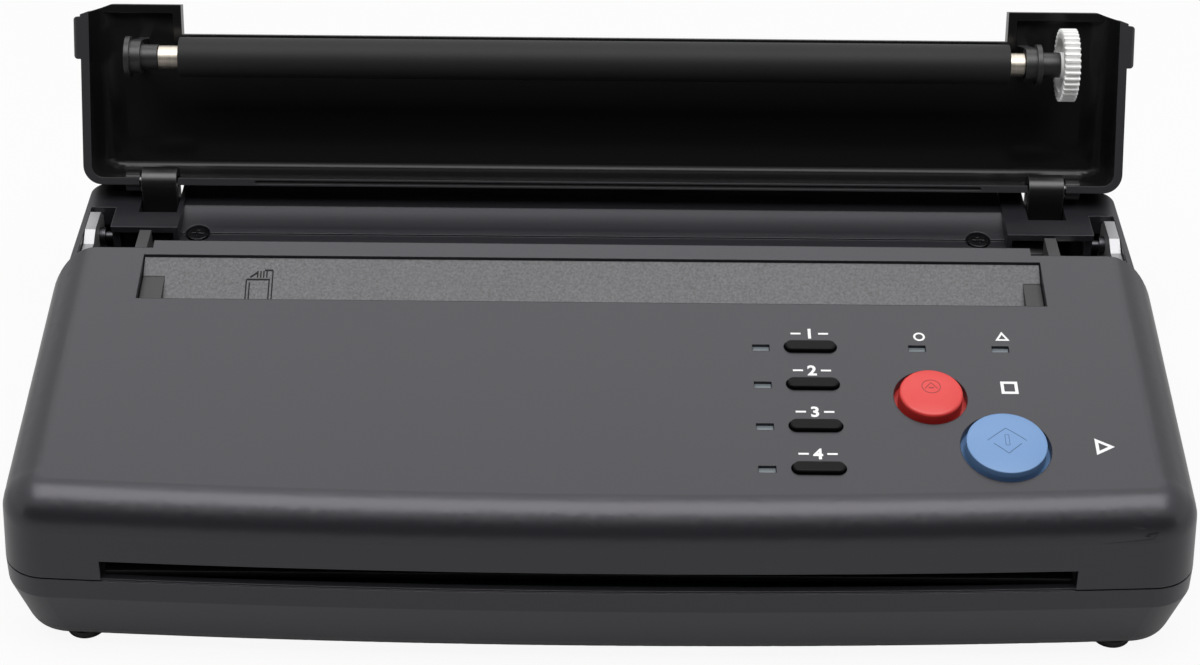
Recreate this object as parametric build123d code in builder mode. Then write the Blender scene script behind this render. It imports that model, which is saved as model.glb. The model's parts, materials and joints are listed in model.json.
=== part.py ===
from build123d import *
import math
import os

# Thermal stencil copier. X runs to the right and Y to the back, with the operator at -Y; Z runs up.
# The origin lies on the table, under the middle of the box that the open machine fills.
# The original goes face down into the chute, under the document roller and out of the front slot.
# The transfer sheet goes between the print head and the platen roller, which hangs in the lid.

# ---------- paper and rollers: each width steps outwards from the sheet ----------
paper_middle_x = -2.5  # both paper paths lie left of the middle, because the gears stand on the right
guide_gap = 211.0  # clear width for an A4 sheet
guide_middle_x = paper_middle_x + 0.5
chute_width = guide_gap + 10.1
slot_width = chute_width + 1.3
deck_width = chute_width - 5.1
deck_screw_spread = deck_width - 11.5
document_roller_length = guide_gap + 4.0
sensor_length = guide_gap + 15.0
head_length = guide_gap + 10.0
spring_spread = head_length - 71.0
platen_length = guide_gap + 5.3
end_gap = 0.2
bush_width = 2.8
bush_flange_width = 1.3
frame_thickness = 3.0
gear_width = 4.0
left_core_x = paper_middle_x - platen_length / 2 - 5.45  # ends of the shaft's thick middle,
right_core_x = paper_middle_x + platen_length / 2 + 4.05  # which the bushes keep in place
left_sleeve = 4.3
left_bush_x = left_core_x - end_gap - left_sleeve - bush_width
right_bush_x = right_core_x + end_gap
left_frame_x = left_bush_x + bush_width + 0.3
right_frame_x = right_bush_x + bush_width + bush_flange_width + 1.0
gear_x = right_frame_x + frame_thickness + 1.0

# ---------- widths of the casing ----------
side_plate_x = gear_x + gear_width + 8.5
side_plate_thickness = 2.7
housing_side_wall = 1.4
housing_width = 2 * (side_plate_x + side_plate_thickness + housing_side_wall + 0.2)
body_width = housing_width + 3.2  # at the seam between base and cover
lid_width = housing_width + 1.4
skirt_open_half = body_width / 2 - 2.9
pocket_half_width = side_plate_x - 3.5
bracket_width = 9.2
bracket_middle_x = lid_width / 2 - 19.7

# ---------- depths: each steps back from the front of the casing ----------
front_y = -80.86  # middle of the bowed front
front_bow = 4.0  # how far the front corners lie behind the middle
chute_front_depth = 70.0
frame_front_depth = chute_front_depth - 20.0
skirt_open_depth = chute_front_depth + 1.0
side_plate_front_depth = chute_front_depth + 2.5
housing_front_depth = chute_front_depth + 4.0
guide_back_depth = chute_front_depth + 10.5
chute_back_depth = chute_front_depth + 15.3
ear_depth = chute_front_depth + 17.7  # from the front to the rear edge of the cover's two ears
grip_depth = ear_depth + 3.3
tongue_depth = chute_back_depth + 5.0
head_width = 18.3
head_front_depth = tongue_depth + 2.2
platen_depth = tongue_depth + 11.0
frame_horn_front_depth = platen_depth - 7.8
frame_horn_back_depth = platen_depth + 3.7
frame_ramp_depth = platen_depth + 6.7
deck_front_depth = head_front_depth + head_width + 0.7
deck_screw_depth = deck_front_depth + 9.7
deck_step_depth = deck_front_depth + 9.9
deck_flat_depth = deck_step_depth + 9.1
platform_depth = platen_depth + 16.7  # from the front to the platforms' front edge
side_plate_rise_depth = platform_depth - 6.0
side_plate_back_depth = platform_depth + 9.0
pocket_depth = side_plate_back_depth + 0.6
hinge_depth = platform_depth + 16.1
lid_back_depth = hinge_depth + 0.7
body_depth = lid_back_depth + 5.8

# ---------- heights: each steps up from the table or from the seam ----------
foot_height = 2.5
seam_z = 23.5
seam_groove = 0.5
crease_z = seam_z - 5.8  # the base is upright above this line and leans in below it
side_plate_base_z = seam_z - 3.5
slot_top_z = seam_z + 5.2
panel_front_z = seam_z + 19.7  # height of the panel's plane above the middle of the front
housing_top_z = seam_z + 22.6
frame_rear_z = housing_top_z - 10.1
platform_floor_z = housing_top_z - 5.6
platform_thickness = 1.8
bracket_base_z = housing_top_z - 4.6
deck_low_z = housing_top_z - 4.2
deck_step = 0.5
deck_high_z = housing_top_z - 0.9
screw_recess_z = deck_low_z - 1.0
skirt_open_z = housing_top_z - 0.1  # the cover's rear wall ends here, over the frames and gears
side_plate_low_z = housing_top_z - 1.6
side_plate_top_z = housing_top_z + 0.4
lid_rim_z = housing_top_z + 0.5
chute_skirt_z = housing_top_z + 0.9
platen_z = housing_top_z + 1.4
frame_top_z = platen_z - 2.0
frame_horn_z = platen_z
hinge_z = platen_z + 2.9

# ---------- form of the casing ----------
panel_slope = 10.35  # degrees
front_corner_radius = 11.0
rear_corner_radius = 6.0
base_lean = 3.6
base_edge_radius = 5.0
base_wall = 2.2
cover_wall = 2.4
cover_draft = 3.4  # degrees
cover_edge_radius = 10.0
ear_corner_radius = 13.0
tongue_inset = 1.9  # the tongue is this much narrower than the chute at each end
chute_wall = 1.6
ramp_drop = 0.7  # from the panel's plane down to the ramp's top edge
ramp_slope = 28.5  # degrees
ramp_fit = 0.2
ramp_thickness = 2.0
ramp_bend_reach = 5.5  # from the document roller back to the ramp's bend
housing_wall = 2.2
housing_gap = 0.3  # between the housing and the cover's rounded rear corners
deck_curve_sag = 0.5
deck_screw_x = paper_middle_x - 1.25
screw_recess_radius = 3.2
screw_head_radius = 2.7

# ---------- lid ----------
lid_opening = 115.35  # degrees
lid_wall = 2.2
lid_back_wall = 1.9
lid_front_gap = 0.3
lid_edge_radius = 9.0
lid_corner_reach = 6.5  # the front corners slope back over this width
lid_corner_drop = 2.4
lid_lip = 4.0
rim_groove_margin = 41.0  # from each side of the lid to the groove in the hinge wall's rim
rim_groove_width = 0.8
rim_groove_middle_x = 4.0
exit_gap = 5.5  # slot for the transfer sheet between the tongue and the lid
notch_gap = 0.5
grip_length = 11.0
grip_height = 9.0
grip_thickness = 1.9
bracket_radius = 3.7
bracket_tail = 2.7
bracket_side_gap = 0.4
pocket_front_gap = 5.0
hinge_pin_radius = 1.5
hinge_boss_radius = 2.8
hinge_boss_width = 3.8
turning_gap = 0.5
running_gap = 0.05

# ---------- platen roller ----------
platen_radius = 5.2
platen_shaft_radius = 3.0
shaft_end_radius = 2.0
sleeve_radius = 3.25
bush_radius = 4.35
bush_flange_radius = 5.3

# ---------- gears ----------
gear_module = 0.5
root_share = 0.33  # half a tooth's width at its root, as a share of the pitch
tip_share = 0.12
mesh_gap = 0.1
platen_teeth = 36
drive_teeth = 44
idler_teeth = 38
document_teeth = 32
pinion_teeth = 12
drive_direction = -59.5  # degrees from the closed platen's axis down to the drive gear
pinion_direction = -30.0
rear_idler_direction = 195.0
front_idler_direction = 156.5
document_direction = 156.5
stud_radius = 2.0

# ---------- frames and inner parts ----------
tab_thickness = 2.0
tab_width = 7.0
tab_reach = 3.5  # past the deck screw's middle
bearing_gap = 0.4
document_roller_radius = 5.0
document_shaft_radius = 2.5
bush_wall = 1.5
sensor_width = 18.0
sensor_height = 13.0
sensor_gap = 0.3
glass_thickness = 1.2
glass_width = 12.0
head_height = 3.0
head_gap = 0.3
carrier_height = 3.0
spring_radius = 3.5
spring_wire_radius = 0.5
spring_turns = 5
spring_height = 11.0
motor_radius = 10.0
motor_length = 18.0
board_thickness = 1.6
board_rise = 5.0

# ---------- control panel, measured up the slope from the front ----------
key_x = 49.8
key_rows = (56.5, 44.2, 30.75, 17.5)
key_length = 12.0
key_width = 3.2
key_gap = 0.35
key_proud = 1.0
key_travel = 0.8
flange_depth = 2.7  # from the panel's face down to the top of a key's flange
flange_thickness = 1.0
flange_reach = 1.0
lamp_x = key_x - 11.8
lamp_length = 4.1
lamp_width = 2.1
status_row = 56.3
status_columns = (key_x + 25.45, key_x + 45.3)
stop_place = (key_x + 27.3, 40.25)
stop_hole_radius = 8.65
stop_radius = 7.45
start_place = (key_x + 43.3, 24.4)
start_hole_radius = 10.5
start_radius = 9.25
button_proud = 2.6
button_dome = 0.9
button_travel = 1.2
button_flange_reach = 0.8
key_board_depth = 6.8  # from the panel's face down to the board
switch_height = 1.2
actuator_height = 0.4

# ---------- power entry on the back ----------
inlet_x = 37.4 - body_width / 2
inlet_z = seam_z - 9.1
inlet_length = 24.0
inlet_height = 13.0
inlet_socket_length = 16.2
inlet_socket_height = 8.4
switch_x = inlet_x + 38.0
switch_length = 21.0
switch_frame_height = 15.0
rocker_length = 15.0
rocker_height = 9.6
rocker_tilt = 9.0

# ---------- places worked out from the sizes ----------
back_y = front_y + body_depth
slope = math.radians(panel_slope)
panel = Plane(
    origin=(0, front_y, panel_front_z), x_dir=(1, 0, 0), z_dir=(0, -math.sin(slope), math.cos(slope))
)


def panel_z(depth):
    """Height of the panel's plane at a depth behind the front."""
    return panel_front_z + depth * math.tan(slope)


def polar(centre, distance, direction):
    """Point at a distance and direction from a centre, in the YZ plane."""
    angle = math.radians(direction)
    return (centre[0] + distance * math.cos(angle), centre[1] + distance * math.sin(angle))


def centre_distance(teeth, other_teeth):
    return gear_module * (teeth + other_teeth) / 2 + mesh_gap


def meshing_phase(teeth, phase, other_teeth, direction):
    """Phase of a second gear, lying in the given direction, that puts its gap on the first one's tooth."""
    turned = (direction - phase) * teeth / 360
    return direction + 180 - (0.5 - turned) * 360 / other_teeth


platen_axis = (front_y + platen_depth, platen_z)
drive_axis = polar(platen_axis, centre_distance(platen_teeth, drive_teeth), drive_direction)
pinion_axis = polar(drive_axis, centre_distance(drive_teeth, pinion_teeth), pinion_direction)
rear_idler_axis = polar(drive_axis, centre_distance(drive_teeth, idler_teeth), rear_idler_direction)
front_idler_axis = polar(rear_idler_axis, centre_distance(idler_teeth, idler_teeth), front_idler_direction)
document_axis = polar(front_idler_axis, centre_distance(idler_teeth, document_teeth), document_direction)
platen_phase = 0.0
drive_phase = meshing_phase(platen_teeth, platen_phase, drive_teeth, drive_direction)
pinion_phase = meshing_phase(drive_teeth, drive_phase, pinion_teeth, pinion_direction)
rear_idler_phase = meshing_phase(drive_teeth, drive_phase, idler_teeth, rear_idler_direction)
front_idler_phase = meshing_phase(idler_teeth, rear_idler_phase, idler_teeth, front_idler_direction)
document_phase = meshing_phase(idler_teeth, front_idler_phase, document_teeth, document_direction)

hinge_y = front_y + hinge_depth
hinge_axis = Axis((0, hinge_y, hinge_z), (1, 0, 0))
platform_y = front_y + platform_depth
floor_z = foot_height + base_wall
chute_low_x = paper_middle_x - chute_width / 2
chute_high_x = paper_middle_x + chute_width / 2
deck_low_x = paper_middle_x - deck_width / 2
deck_high_x = paper_middle_x + deck_width / 2
high = 90.0  # above everything; used only for cuts


def body_plan(width, front, back, front_radius, back_radius=0.0):
    """Plan of the casing: straight sides and back, a bowed front and rounded corners."""
    side = width / 2
    with BuildSketch() as plan:
        with BuildLine():
            bow = ThreePointArc((-side, front + front_bow), (0, front), (side, front + front_bow))
            Polyline(bow @ 1, (side, back), (-side, back), bow @ 0)
        make_face()
        fillet(plan.vertices().sort_by(Axis.Y)[:2], front_radius)
        if back_radius > 0:
            fillet(plan.vertices().sort_by(Axis.Y)[-2:], back_radius)
    return plan.sketch


def base_block(inset):
    """Outer form of the base, moved inwards: an upright band over a lower part that leans in."""
    width = body_width - 2 * inset
    front = front_y + inset
    back = back_y - inset
    corners = (front_corner_radius - inset, rear_corner_radius - inset)
    with BuildPart() as block:
        with BuildSketch(Plane.XY.offset(crease_z)):
            add(body_plan(width, front, back, *corners))
        extrude(amount=seam_z - crease_z)
        with BuildSketch(Plane.XY.offset(crease_z)):
            add(body_plan(width, front, back, *corners))
        with BuildSketch(Plane.XY.offset(foot_height + inset)):
            add(body_plan(width - 2 * base_lean, front + base_lean, back, *corners))
        loft()
        bottom = block.faces().sort_by(Axis.Z)[0].edges()
        fillet(bottom, base_edge_radius - inset)
    return block.part


def cover_block(inset):
    """Outer form of the top cover before its openings, moved inwards and cut by the panel's plane."""
    lean = (high - seam_z) * math.tan(math.radians(cover_draft))
    width = body_width - 2 * inset
    front = front_y + inset
    corner = front_corner_radius - inset
    with BuildPart() as block:
        with BuildSketch(Plane.XY.offset(seam_z)):
            add(body_plan(width, front, back_y, corner))
        with BuildSketch(Plane.XY.offset(high)):
            add(body_plan(width - 2 * lean, front + lean, back_y, corner))
        loft()
        split(bisect_by=panel.offset(-inset), keep=Keep.BOTTOM)
        edges = block.faces().sort_by(Axis.Z)[-1].edges()
        fillet(edges.sort_by(Axis.Y)[:-1], cover_edge_radius - inset)
    return block.part


def cover_footprint(inset):
    """Plan that trims the cover's back: ears with round corners and the tongue between them."""
    ear_back = front_y + ear_depth - inset
    with BuildSketch() as footprint:
        with Locations((0, ear_back)):
            Rectangle(body_width - 2 * inset, body_depth, align=(Align.CENTER, Align.MAX))
        fillet(footprint.vertices().group_by(Axis.Y)[-1], ear_corner_radius - inset)
        with Locations((paper_middle_x, front_y + tongue_depth - inset)):
            Rectangle(
                chute_width - 2 * tongue_inset - 2 * inset,
                tongue_depth - chute_front_depth,
                align=(Align.CENTER, Align.MAX),
            )
    return footprint.sketch


def rectangle(low_x, high_x, low_y, high_y, mode=Mode.ADD):
    """Rectangle of the open sketch between two values along each of its axes."""
    with Locations(((low_x + high_x) / 2, (low_y + high_y) / 2)):
        Rectangle(high_x - low_x, high_y - low_y, mode=mode)


def finish(builder, name):
    """Label a finished piece and write its file."""
    builder.part.label = name
    export_step(builder.part, f"parts/{name}.step")


os.makedirs("parts", exist_ok=True)

# ---------- screw places, shared by base, cover and housing ----------
front_screw_x = body_width / 2 - 16.4
front_screw_depth = 13.5
rear_screw_x = body_width / 2 - 10.9
rear_screw_inset = 6.4
front_screws = [(side * front_screw_x, front_y + front_screw_depth) for side in (-1, 1)]
rear_screws = [(side * rear_screw_x, back_y - rear_screw_inset) for side in (-1, 1)]
boss_radius = 3.5
screw_radius = 1.5
base_screw_head_radius = 2.8
base_screw_seat_z = 8.0
base_screw_bite = 6.0
deck_screws_at = [
    (deck_screw_x - deck_screw_spread / 2, front_y + deck_screw_depth),
    (deck_screw_x + deck_screw_spread / 2, front_y + deck_screw_depth),
]

# ---------- sensor, head and boards ----------
sensor_top_z = document_axis[1] - document_roller_radius - sensor_gap
sensor_base_z = sensor_top_z - sensor_height
head_top_z = platen_z - platen_radius - head_gap
carrier_top_z = head_top_z - head_height
carrier_base_z = carrier_top_z - carrier_height
post_top_z = carrier_base_z - spring_height
head_middle_y = front_y + head_front_depth + head_width / 2
spring_places = [
    (paper_middle_x - spring_spread / 2, head_middle_y),
    (paper_middle_x + spring_spread / 2, head_middle_y),
]
main_board_length = guide_gap - 81.0
main_board_width = 32.0
main_board_size = (main_board_length, main_board_width)
main_board_middle = (5.0, front_y + main_board_width / 2 + 13.0)
power_board_length = guide_gap - 81.0
power_board_width = 25.0
power_board_size = (power_board_length, power_board_width)
power_board_middle = (paper_middle_x - 42.5, front_y + chute_front_depth + 13.0)
board_hole_inset = 4.0
board_z = floor_z + board_rise


def board_corners(size, middle):
    """The four hole places of a board."""
    reach_x = size[0] / 2 - board_hole_inset
    reach_y = size[1] / 2 - board_hole_inset
    return [(middle[0] + i * reach_x, middle[1] + j * reach_y) for i in (-1, 1) for j in (-1, 1)]


# ---------- base ----------
vent_width = 2.5
vent_length = 18.0
vent_pitch = 6.0
vent_count = 12
rib_thickness = 3.0
rib_inset = 15.0
sensor_rib_places = [
    paper_middle_x - sensor_length / 2 + rib_inset,
    paper_middle_x + sensor_length / 2 - rib_inset,
]
foot_radius = 5.0
ledge_middle_depth = (side_plate_front_depth + side_plate_back_depth) / 2
ledge_spread = 38.0

with BuildPart() as base_shell:
    add(base_block(0))
    add(base_block(base_wall), mode=Mode.SUBTRACT)
    with BuildSketch(Plane.XY.offset(floor_z)):
        with Locations(*front_screws, *rear_screws):
            Circle(boss_radius)
    extrude(amount=seam_z - floor_z)
    with BuildSketch(Plane.XY.offset(foot_height)):
        with Locations(*front_screws, *rear_screws):
            Circle(base_screw_head_radius + 0.3)
    extrude(amount=base_screw_seat_z - foot_height, mode=Mode.SUBTRACT)
    with BuildSketch(Plane.XY.offset(foot_height)):
        with Locations(*front_screws, *rear_screws):
            Circle(screw_radius + 0.2)
    extrude(amount=seam_z - foot_height, mode=Mode.SUBTRACT)
    # shadow groove under the seam
    with BuildSketch(Plane.XY.offset(seam_z - seam_groove)):
        Rectangle(2 * body_width, 4 * body_depth)
        add(
            body_plan(
                body_width - 2 * seam_groove,
                front_y + seam_groove,
                back_y - seam_groove,
                front_corner_radius - seam_groove,
                rear_corner_radius - seam_groove,
            ),
            mode=Mode.SUBTRACT,
        )
    extrude(amount=seam_groove, mode=Mode.SUBTRACT)
    # posts under the boards
    with BuildSketch(Plane.XY.offset(floor_z)):
        with Locations(
            *board_corners(main_board_size, main_board_middle),
            *board_corners(power_board_size, power_board_middle),
        ):
            Circle(2.5)
    extrude(amount=board_rise)
    # ribs under the image sensor
    with BuildSketch(Plane.XY.offset(floor_z)):
        with Locations(*[(x, document_axis[0]) for x in sensor_rib_places]):
            Rectangle(rib_thickness, sensor_width - 4)
    extrude(amount=sensor_base_z - floor_z)
    # posts under the head's springs
    with BuildSketch(Plane.XY.offset(floor_z)):
        with Locations(*spring_places):
            Circle(spring_radius + 1)
    extrude(amount=post_top_z - floor_z)
    # ledges under the side plates
    with BuildSketch(Plane.XY.offset(floor_z)):
        with Locations((0, front_y + ledge_middle_depth)):
            with GridLocations(2 * side_plate_x - 2, ledge_spread, 2, 2):
                Rectangle(4.0, 6.0)
    extrude(amount=side_plate_base_z - floor_z)
    # cooling slots under the power board
    with BuildSketch(Plane.XY.offset(foot_height)):
        with Locations(power_board_middle):
            with GridLocations(vent_pitch, 1, vent_count, 1):
                SlotOverall(vent_length, vent_width, rotation=90)
    extrude(amount=base_wall, mode=Mode.SUBTRACT)
    # openings for the inlet and the mains switch
    with BuildSketch(Plane.XZ.offset(-back_y)):
        with Locations((inlet_x, inlet_z)):
            Rectangle(inlet_length - 4, inlet_height - 2)
        with Locations((switch_x, inlet_z)):
            Rectangle(switch_length - 2, switch_frame_height - 2)
    extrude(amount=2 * base_wall, both=True, mode=Mode.SUBTRACT)
finish(base_shell, "base_shell")

# rubber feet, which hide the screws
with BuildPart() as base_feet:
    with BuildSketch(Plane.XY.offset(foot_height)):
        with Locations(*front_screws, *rear_screws):
            Circle(foot_radius)
    extrude(amount=-foot_height, taper=12)
    fillet(base_feet.faces().group_by(Axis.Z)[0].edges(), 0.8)
finish(base_feet, "base_feet")

with BuildPart() as base_screws:
    with BuildSketch(Plane.XY.offset(base_screw_seat_z)):
        with Locations(*front_screws, *rear_screws):
            Circle(base_screw_head_radius)
    extrude(amount=-2.0)
    with BuildSketch(Plane.XY.offset(base_screw_seat_z)):
        with Locations(*front_screws, *rear_screws):
            Circle(screw_radius)
    extrude(amount=seam_z + base_screw_bite - base_screw_seat_z)
finish(base_screws, "base_screws")

# ---------- front cover ----------
lamp_places = [(lamp_x, row - 0.35) for row in key_rows] + [(x, status_row) for x in status_columns]
key_board_low_x = key_x - 20.3
key_board_high_x = key_x + 57.2
key_board_low_row = 9.5
key_board_high_row = 58.5
key_post_radius = 2.0
key_post_inset = 3.0
key_posts = [
    (x, row)
    for x in (key_board_low_x + key_post_inset, key_board_high_x - key_post_inset)
    for row in (key_board_low_row + key_post_inset, key_board_high_row - key_post_inset)
]

with BuildPart() as cover_cavity:
    add(cover_block(cover_wall))
    with BuildSketch(Plane.XY.offset(seam_z)):
        add(cover_footprint(cover_wall))
    extrude(amount=high - seam_z, mode=Mode.INTERSECT)
    # walls kept round the chute
    with BuildSketch(Plane.XY.offset(chute_skirt_z)):
        rectangle(
            chute_low_x - chute_wall,
            chute_high_x + chute_wall,
            front_y + chute_front_depth,
            front_y + tongue_depth,
        )
        rectangle(
            chute_low_x,
            chute_high_x,
            front_y + chute_front_depth,
            front_y + chute_back_depth,
            mode=Mode.SUBTRACT,
        )
    extrude(amount=high - chute_skirt_z, mode=Mode.SUBTRACT)

with BuildPart() as front_cover:
    add(cover_block(0))
    with BuildSketch(Plane.XY.offset(seam_z)):
        add(cover_footprint(0))
    extrude(amount=high - seam_z, mode=Mode.INTERSECT)
    add(cover_cavity.part, mode=Mode.SUBTRACT)
    # the rear wall is open below, where the frames and gears pass
    with BuildSketch(Plane.XY.offset(seam_z)):
        rectangle(
            -skirt_open_half, skirt_open_half, front_y + skirt_open_depth, front_y + tongue_depth
        )
    extrude(amount=skirt_open_z - seam_z, mode=Mode.SUBTRACT)
    # chute
    with BuildSketch(Plane.XY.offset(chute_skirt_z)):
        rectangle(chute_low_x, chute_high_x, front_y + chute_front_depth, front_y + chute_back_depth)
    extrude(amount=high - chute_skirt_z, mode=Mode.SUBTRACT)
    # front slot
    with BuildSketch(Plane.XY.offset(seam_z)):
        rectangle(
            paper_middle_x - slot_width / 2,
            paper_middle_x + slot_width / 2,
            front_y,
            front_y + front_bow + cover_wall,
        )
    extrude(amount=slot_top_z - seam_z, mode=Mode.SUBTRACT)
    # posts for the key board and bosses for the base screws
    with BuildSketch(panel.offset(-key_board_depth)):
        with Locations(*key_posts):
            Circle(key_post_radius)
    extrude(amount=key_board_depth - cover_wall / 2)
    with BuildSketch(Plane.XY.offset(seam_z)):
        with Locations(*front_screws):
            Circle(boss_radius)
    extrude(amount=panel_front_z - seam_z)
    with BuildSketch(Plane.XY.offset(seam_z)):
        with Locations(*front_screws):
            Circle(screw_radius)
    extrude(amount=base_screw_bite + 1, mode=Mode.SUBTRACT)
    # openings for keys, buttons and lamps
    with BuildSketch(panel):
        with Locations(*[(key_x, row) for row in key_rows]):
            SlotOverall(key_length + 2 * key_gap, key_width + 2 * key_gap)
        with Locations(*lamp_places):
            Rectangle(lamp_length, lamp_width)
        with Locations(stop_place):
            Circle(stop_hole_radius)
        with Locations(start_place):
            Circle(start_hole_radius)
    extrude(amount=-2 * cover_wall, mode=Mode.SUBTRACT)
finish(front_cover, "front_cover")

# ---------- document path ----------
ramp_run = math.tan(math.radians(ramp_slope))
ramp_back_y = front_y + chute_back_depth - ramp_fit
ramp_back_z = panel_z(chute_back_depth) - ramp_drop
ramp_bend_y = document_axis[0] + document_roller_radius + ramp_bend_reach
ramp_foot_y = document_axis[0] + document_roller_radius + 0.8


def ramp_z(y):
    """Height of the ramp's face at a place along Y."""
    return ramp_back_z - (ramp_back_y - y) * ramp_run


guide_back_y = front_y + guide_back_depth
guide_front_y = front_y + chute_front_depth + ramp_fit
guide_front_z = ramp_z(guide_back_y) - (guide_back_y - guide_front_y) * math.tan(slope)

with BuildPart() as document_ramp:
    with BuildSketch(Plane.YZ.offset(chute_low_x + ramp_fit)):
        with BuildLine():
            Polyline(
                (ramp_back_y, ramp_back_z),
                (ramp_bend_y, ramp_z(ramp_bend_y)),
                (ramp_foot_y, sensor_top_z + sensor_gap),
                (ramp_foot_y + ramp_thickness, sensor_top_z + sensor_gap),
                (ramp_bend_y + ramp_thickness, ramp_z(ramp_bend_y) - ramp_thickness),
                (ramp_back_y, ramp_back_z - 1.2 * ramp_thickness),
                close=True,
            )
        make_face()
    extrude(amount=chute_width - 2 * ramp_fit)
finish(document_ramp, "document_ramp")

# edge guides that lead an A4 sheet
guide_low_x = guide_middle_x - guide_gap / 2
guide_high_x = guide_middle_x + guide_gap / 2
with BuildPart() as edge_guides:
    for low_x, high_x in ((chute_low_x + ramp_fit, guide_low_x), (guide_high_x, chute_high_x - ramp_fit)):
        with BuildSketch(Plane.YZ.offset(low_x)):
            with BuildLine():
                Polyline(
                    (guide_back_y, ramp_z(guide_back_y)),
                    (guide_front_y, guide_front_z),
                    (guide_front_y, ramp_z(guide_front_y)),
                    close=True,
                )
            make_face()
        extrude(amount=high_x - low_x)
finish(edge_guides, "edge_guides")

sensor_front_y = document_axis[0] - sensor_width / 2
exit_thickness = 1.5
exit_front_y = front_y + 5.2
exit_front_z = seam_z + 0.9
exit_back_y = sensor_front_y - 0.2
exit_leg_front = 20.0
exit_leg_back = 32.0
exit_leg_thickness = 2.0
exit_leg_spread = slot_width - 36.4


def exit_z(y):
    """Height of the exit guide's face at a place along Y."""
    share = (y - exit_front_y) / (exit_back_y - exit_front_y)
    return exit_front_z + share * (sensor_top_z - exit_front_z)


with BuildPart() as exit_guide:
    with BuildSketch(Plane.YZ.offset(paper_middle_x - slot_width / 2 + 0.6)):
        with BuildLine():
            Polyline(
                (exit_front_y, exit_front_z),
                (exit_back_y, sensor_top_z),
                (exit_back_y, sensor_top_z - exit_thickness),
                (exit_front_y, exit_front_z - exit_thickness),
                close=True,
            )
        make_face()
    extrude(amount=slot_width - 1.2)
    for side in (-1, 1):
        leg_front_y = front_y + exit_leg_front
        leg_back_y = front_y + exit_leg_back
        with BuildSketch(Plane.YZ.offset(side * exit_leg_spread / 2)):
            with BuildLine():
                Polyline(
                    (leg_front_y, floor_z),
                    (leg_back_y, floor_z),
                    (leg_back_y, exit_z(leg_back_y) - exit_thickness / 2),
                    (leg_front_y, exit_z(leg_front_y) - exit_thickness / 2),
                    close=True,
                )
            make_face()
        extrude(amount=exit_leg_thickness)
finish(exit_guide, "exit_guide")

with BuildPart() as scan_sensor:
    with BuildSketch(Plane.XY.offset(sensor_base_z)):
        with Locations((paper_middle_x, document_axis[0])):
            Rectangle(sensor_length, sensor_width)
    extrude(amount=sensor_height)
    chamfer(scan_sensor.edges().filter_by(Axis.X).group_by(Axis.Z)[0], 1.5)
    with BuildSketch(Plane.XY.offset(sensor_top_z)):
        with Locations((paper_middle_x, document_axis[0])):
            Rectangle(sensor_length - 8, glass_width)
    extrude(amount=-glass_thickness, mode=Mode.SUBTRACT)
finish(scan_sensor, "scan_sensor")

with BuildPart() as scan_glass:
    with BuildSketch(Plane.XY.offset(sensor_top_z - glass_thickness)):
        with Locations((paper_middle_x, document_axis[0])):
            Rectangle(sensor_length - 8.2, glass_width - 0.2)
    extrude(amount=glass_thickness)
finish(scan_glass, "scan_glass")

# ---------- bearing frames ----------
frame_base_z = floor_z
frame_back_y = back_y - base_wall - 1.0
tab_top_z = platform_floor_z


def frame_outline():
    """Side view of a bearing frame, with the notch that takes the platen's bearing."""
    with BuildSketch() as outline:
        with BuildLine():
            Polyline(
                (front_y + frame_front_depth, frame_base_z),
                (frame_back_y, frame_base_z),
                (frame_back_y, frame_rear_z),
                (platform_y - 0.5, frame_rear_z),
                (platform_y - 0.5, frame_top_z),
                (front_y + frame_ramp_depth, frame_top_z),
                (front_y + frame_horn_back_depth, frame_horn_z),
                (front_y + frame_horn_front_depth, frame_horn_z),
                (front_y + frame_horn_front_depth - 2, frame_top_z),
                (front_y + frame_front_depth, frame_top_z),
                close=True,
            )
        make_face()
        fillet(outline.vertices().sort_by(Axis.Y)[:2], 3)
        with Locations(platen_axis):
            Circle(sleeve_radius + bearing_gap, mode=Mode.SUBTRACT)
        notch = sleeve_radius + bearing_gap
        rectangle(
            platen_axis[0] - notch,
            platen_axis[0] + notch,
            platen_axis[1],
            platen_axis[1] + notch,
            mode=Mode.SUBTRACT,
        )
        with Locations(document_axis):
            Circle(document_shaft_radius + running_gap + bush_wall, mode=Mode.SUBTRACT)
    return outline.sketch


def deck_tab(screw, low_x, high_x):
    """Rectangle of the tab that a deck screw bites into, with the screw's hole."""
    rectangle(low_x, high_x, screw[1] - tab_width / 2, screw[1] + tab_width / 2)
    with Locations(screw):
        Circle(screw_radius, mode=Mode.SUBTRACT)


with BuildPart() as bearing_frame_left:
    with BuildSketch(Plane.YZ.offset(left_frame_x)):
        add(frame_outline())
    extrude(amount=frame_thickness)
    with BuildSketch(Plane.XY.offset(tab_top_z)):
        deck_tab(deck_screws_at[0], left_frame_x, deck_screws_at[0][0] + tab_reach)
    extrude(amount=-tab_thickness)
    # web that carries the tab down the frame
    with BuildSketch(Plane.YZ.offset(left_frame_x)):
        screw_y = deck_screws_at[0][1]
        rectangle(screw_y - tab_width / 2, screw_y - tab_width / 2 + 2, frame_rear_z - 8, tab_top_z)
    extrude(amount=frame_thickness + 5)
finish(bearing_frame_left, "bearing_frame_left")

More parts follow.
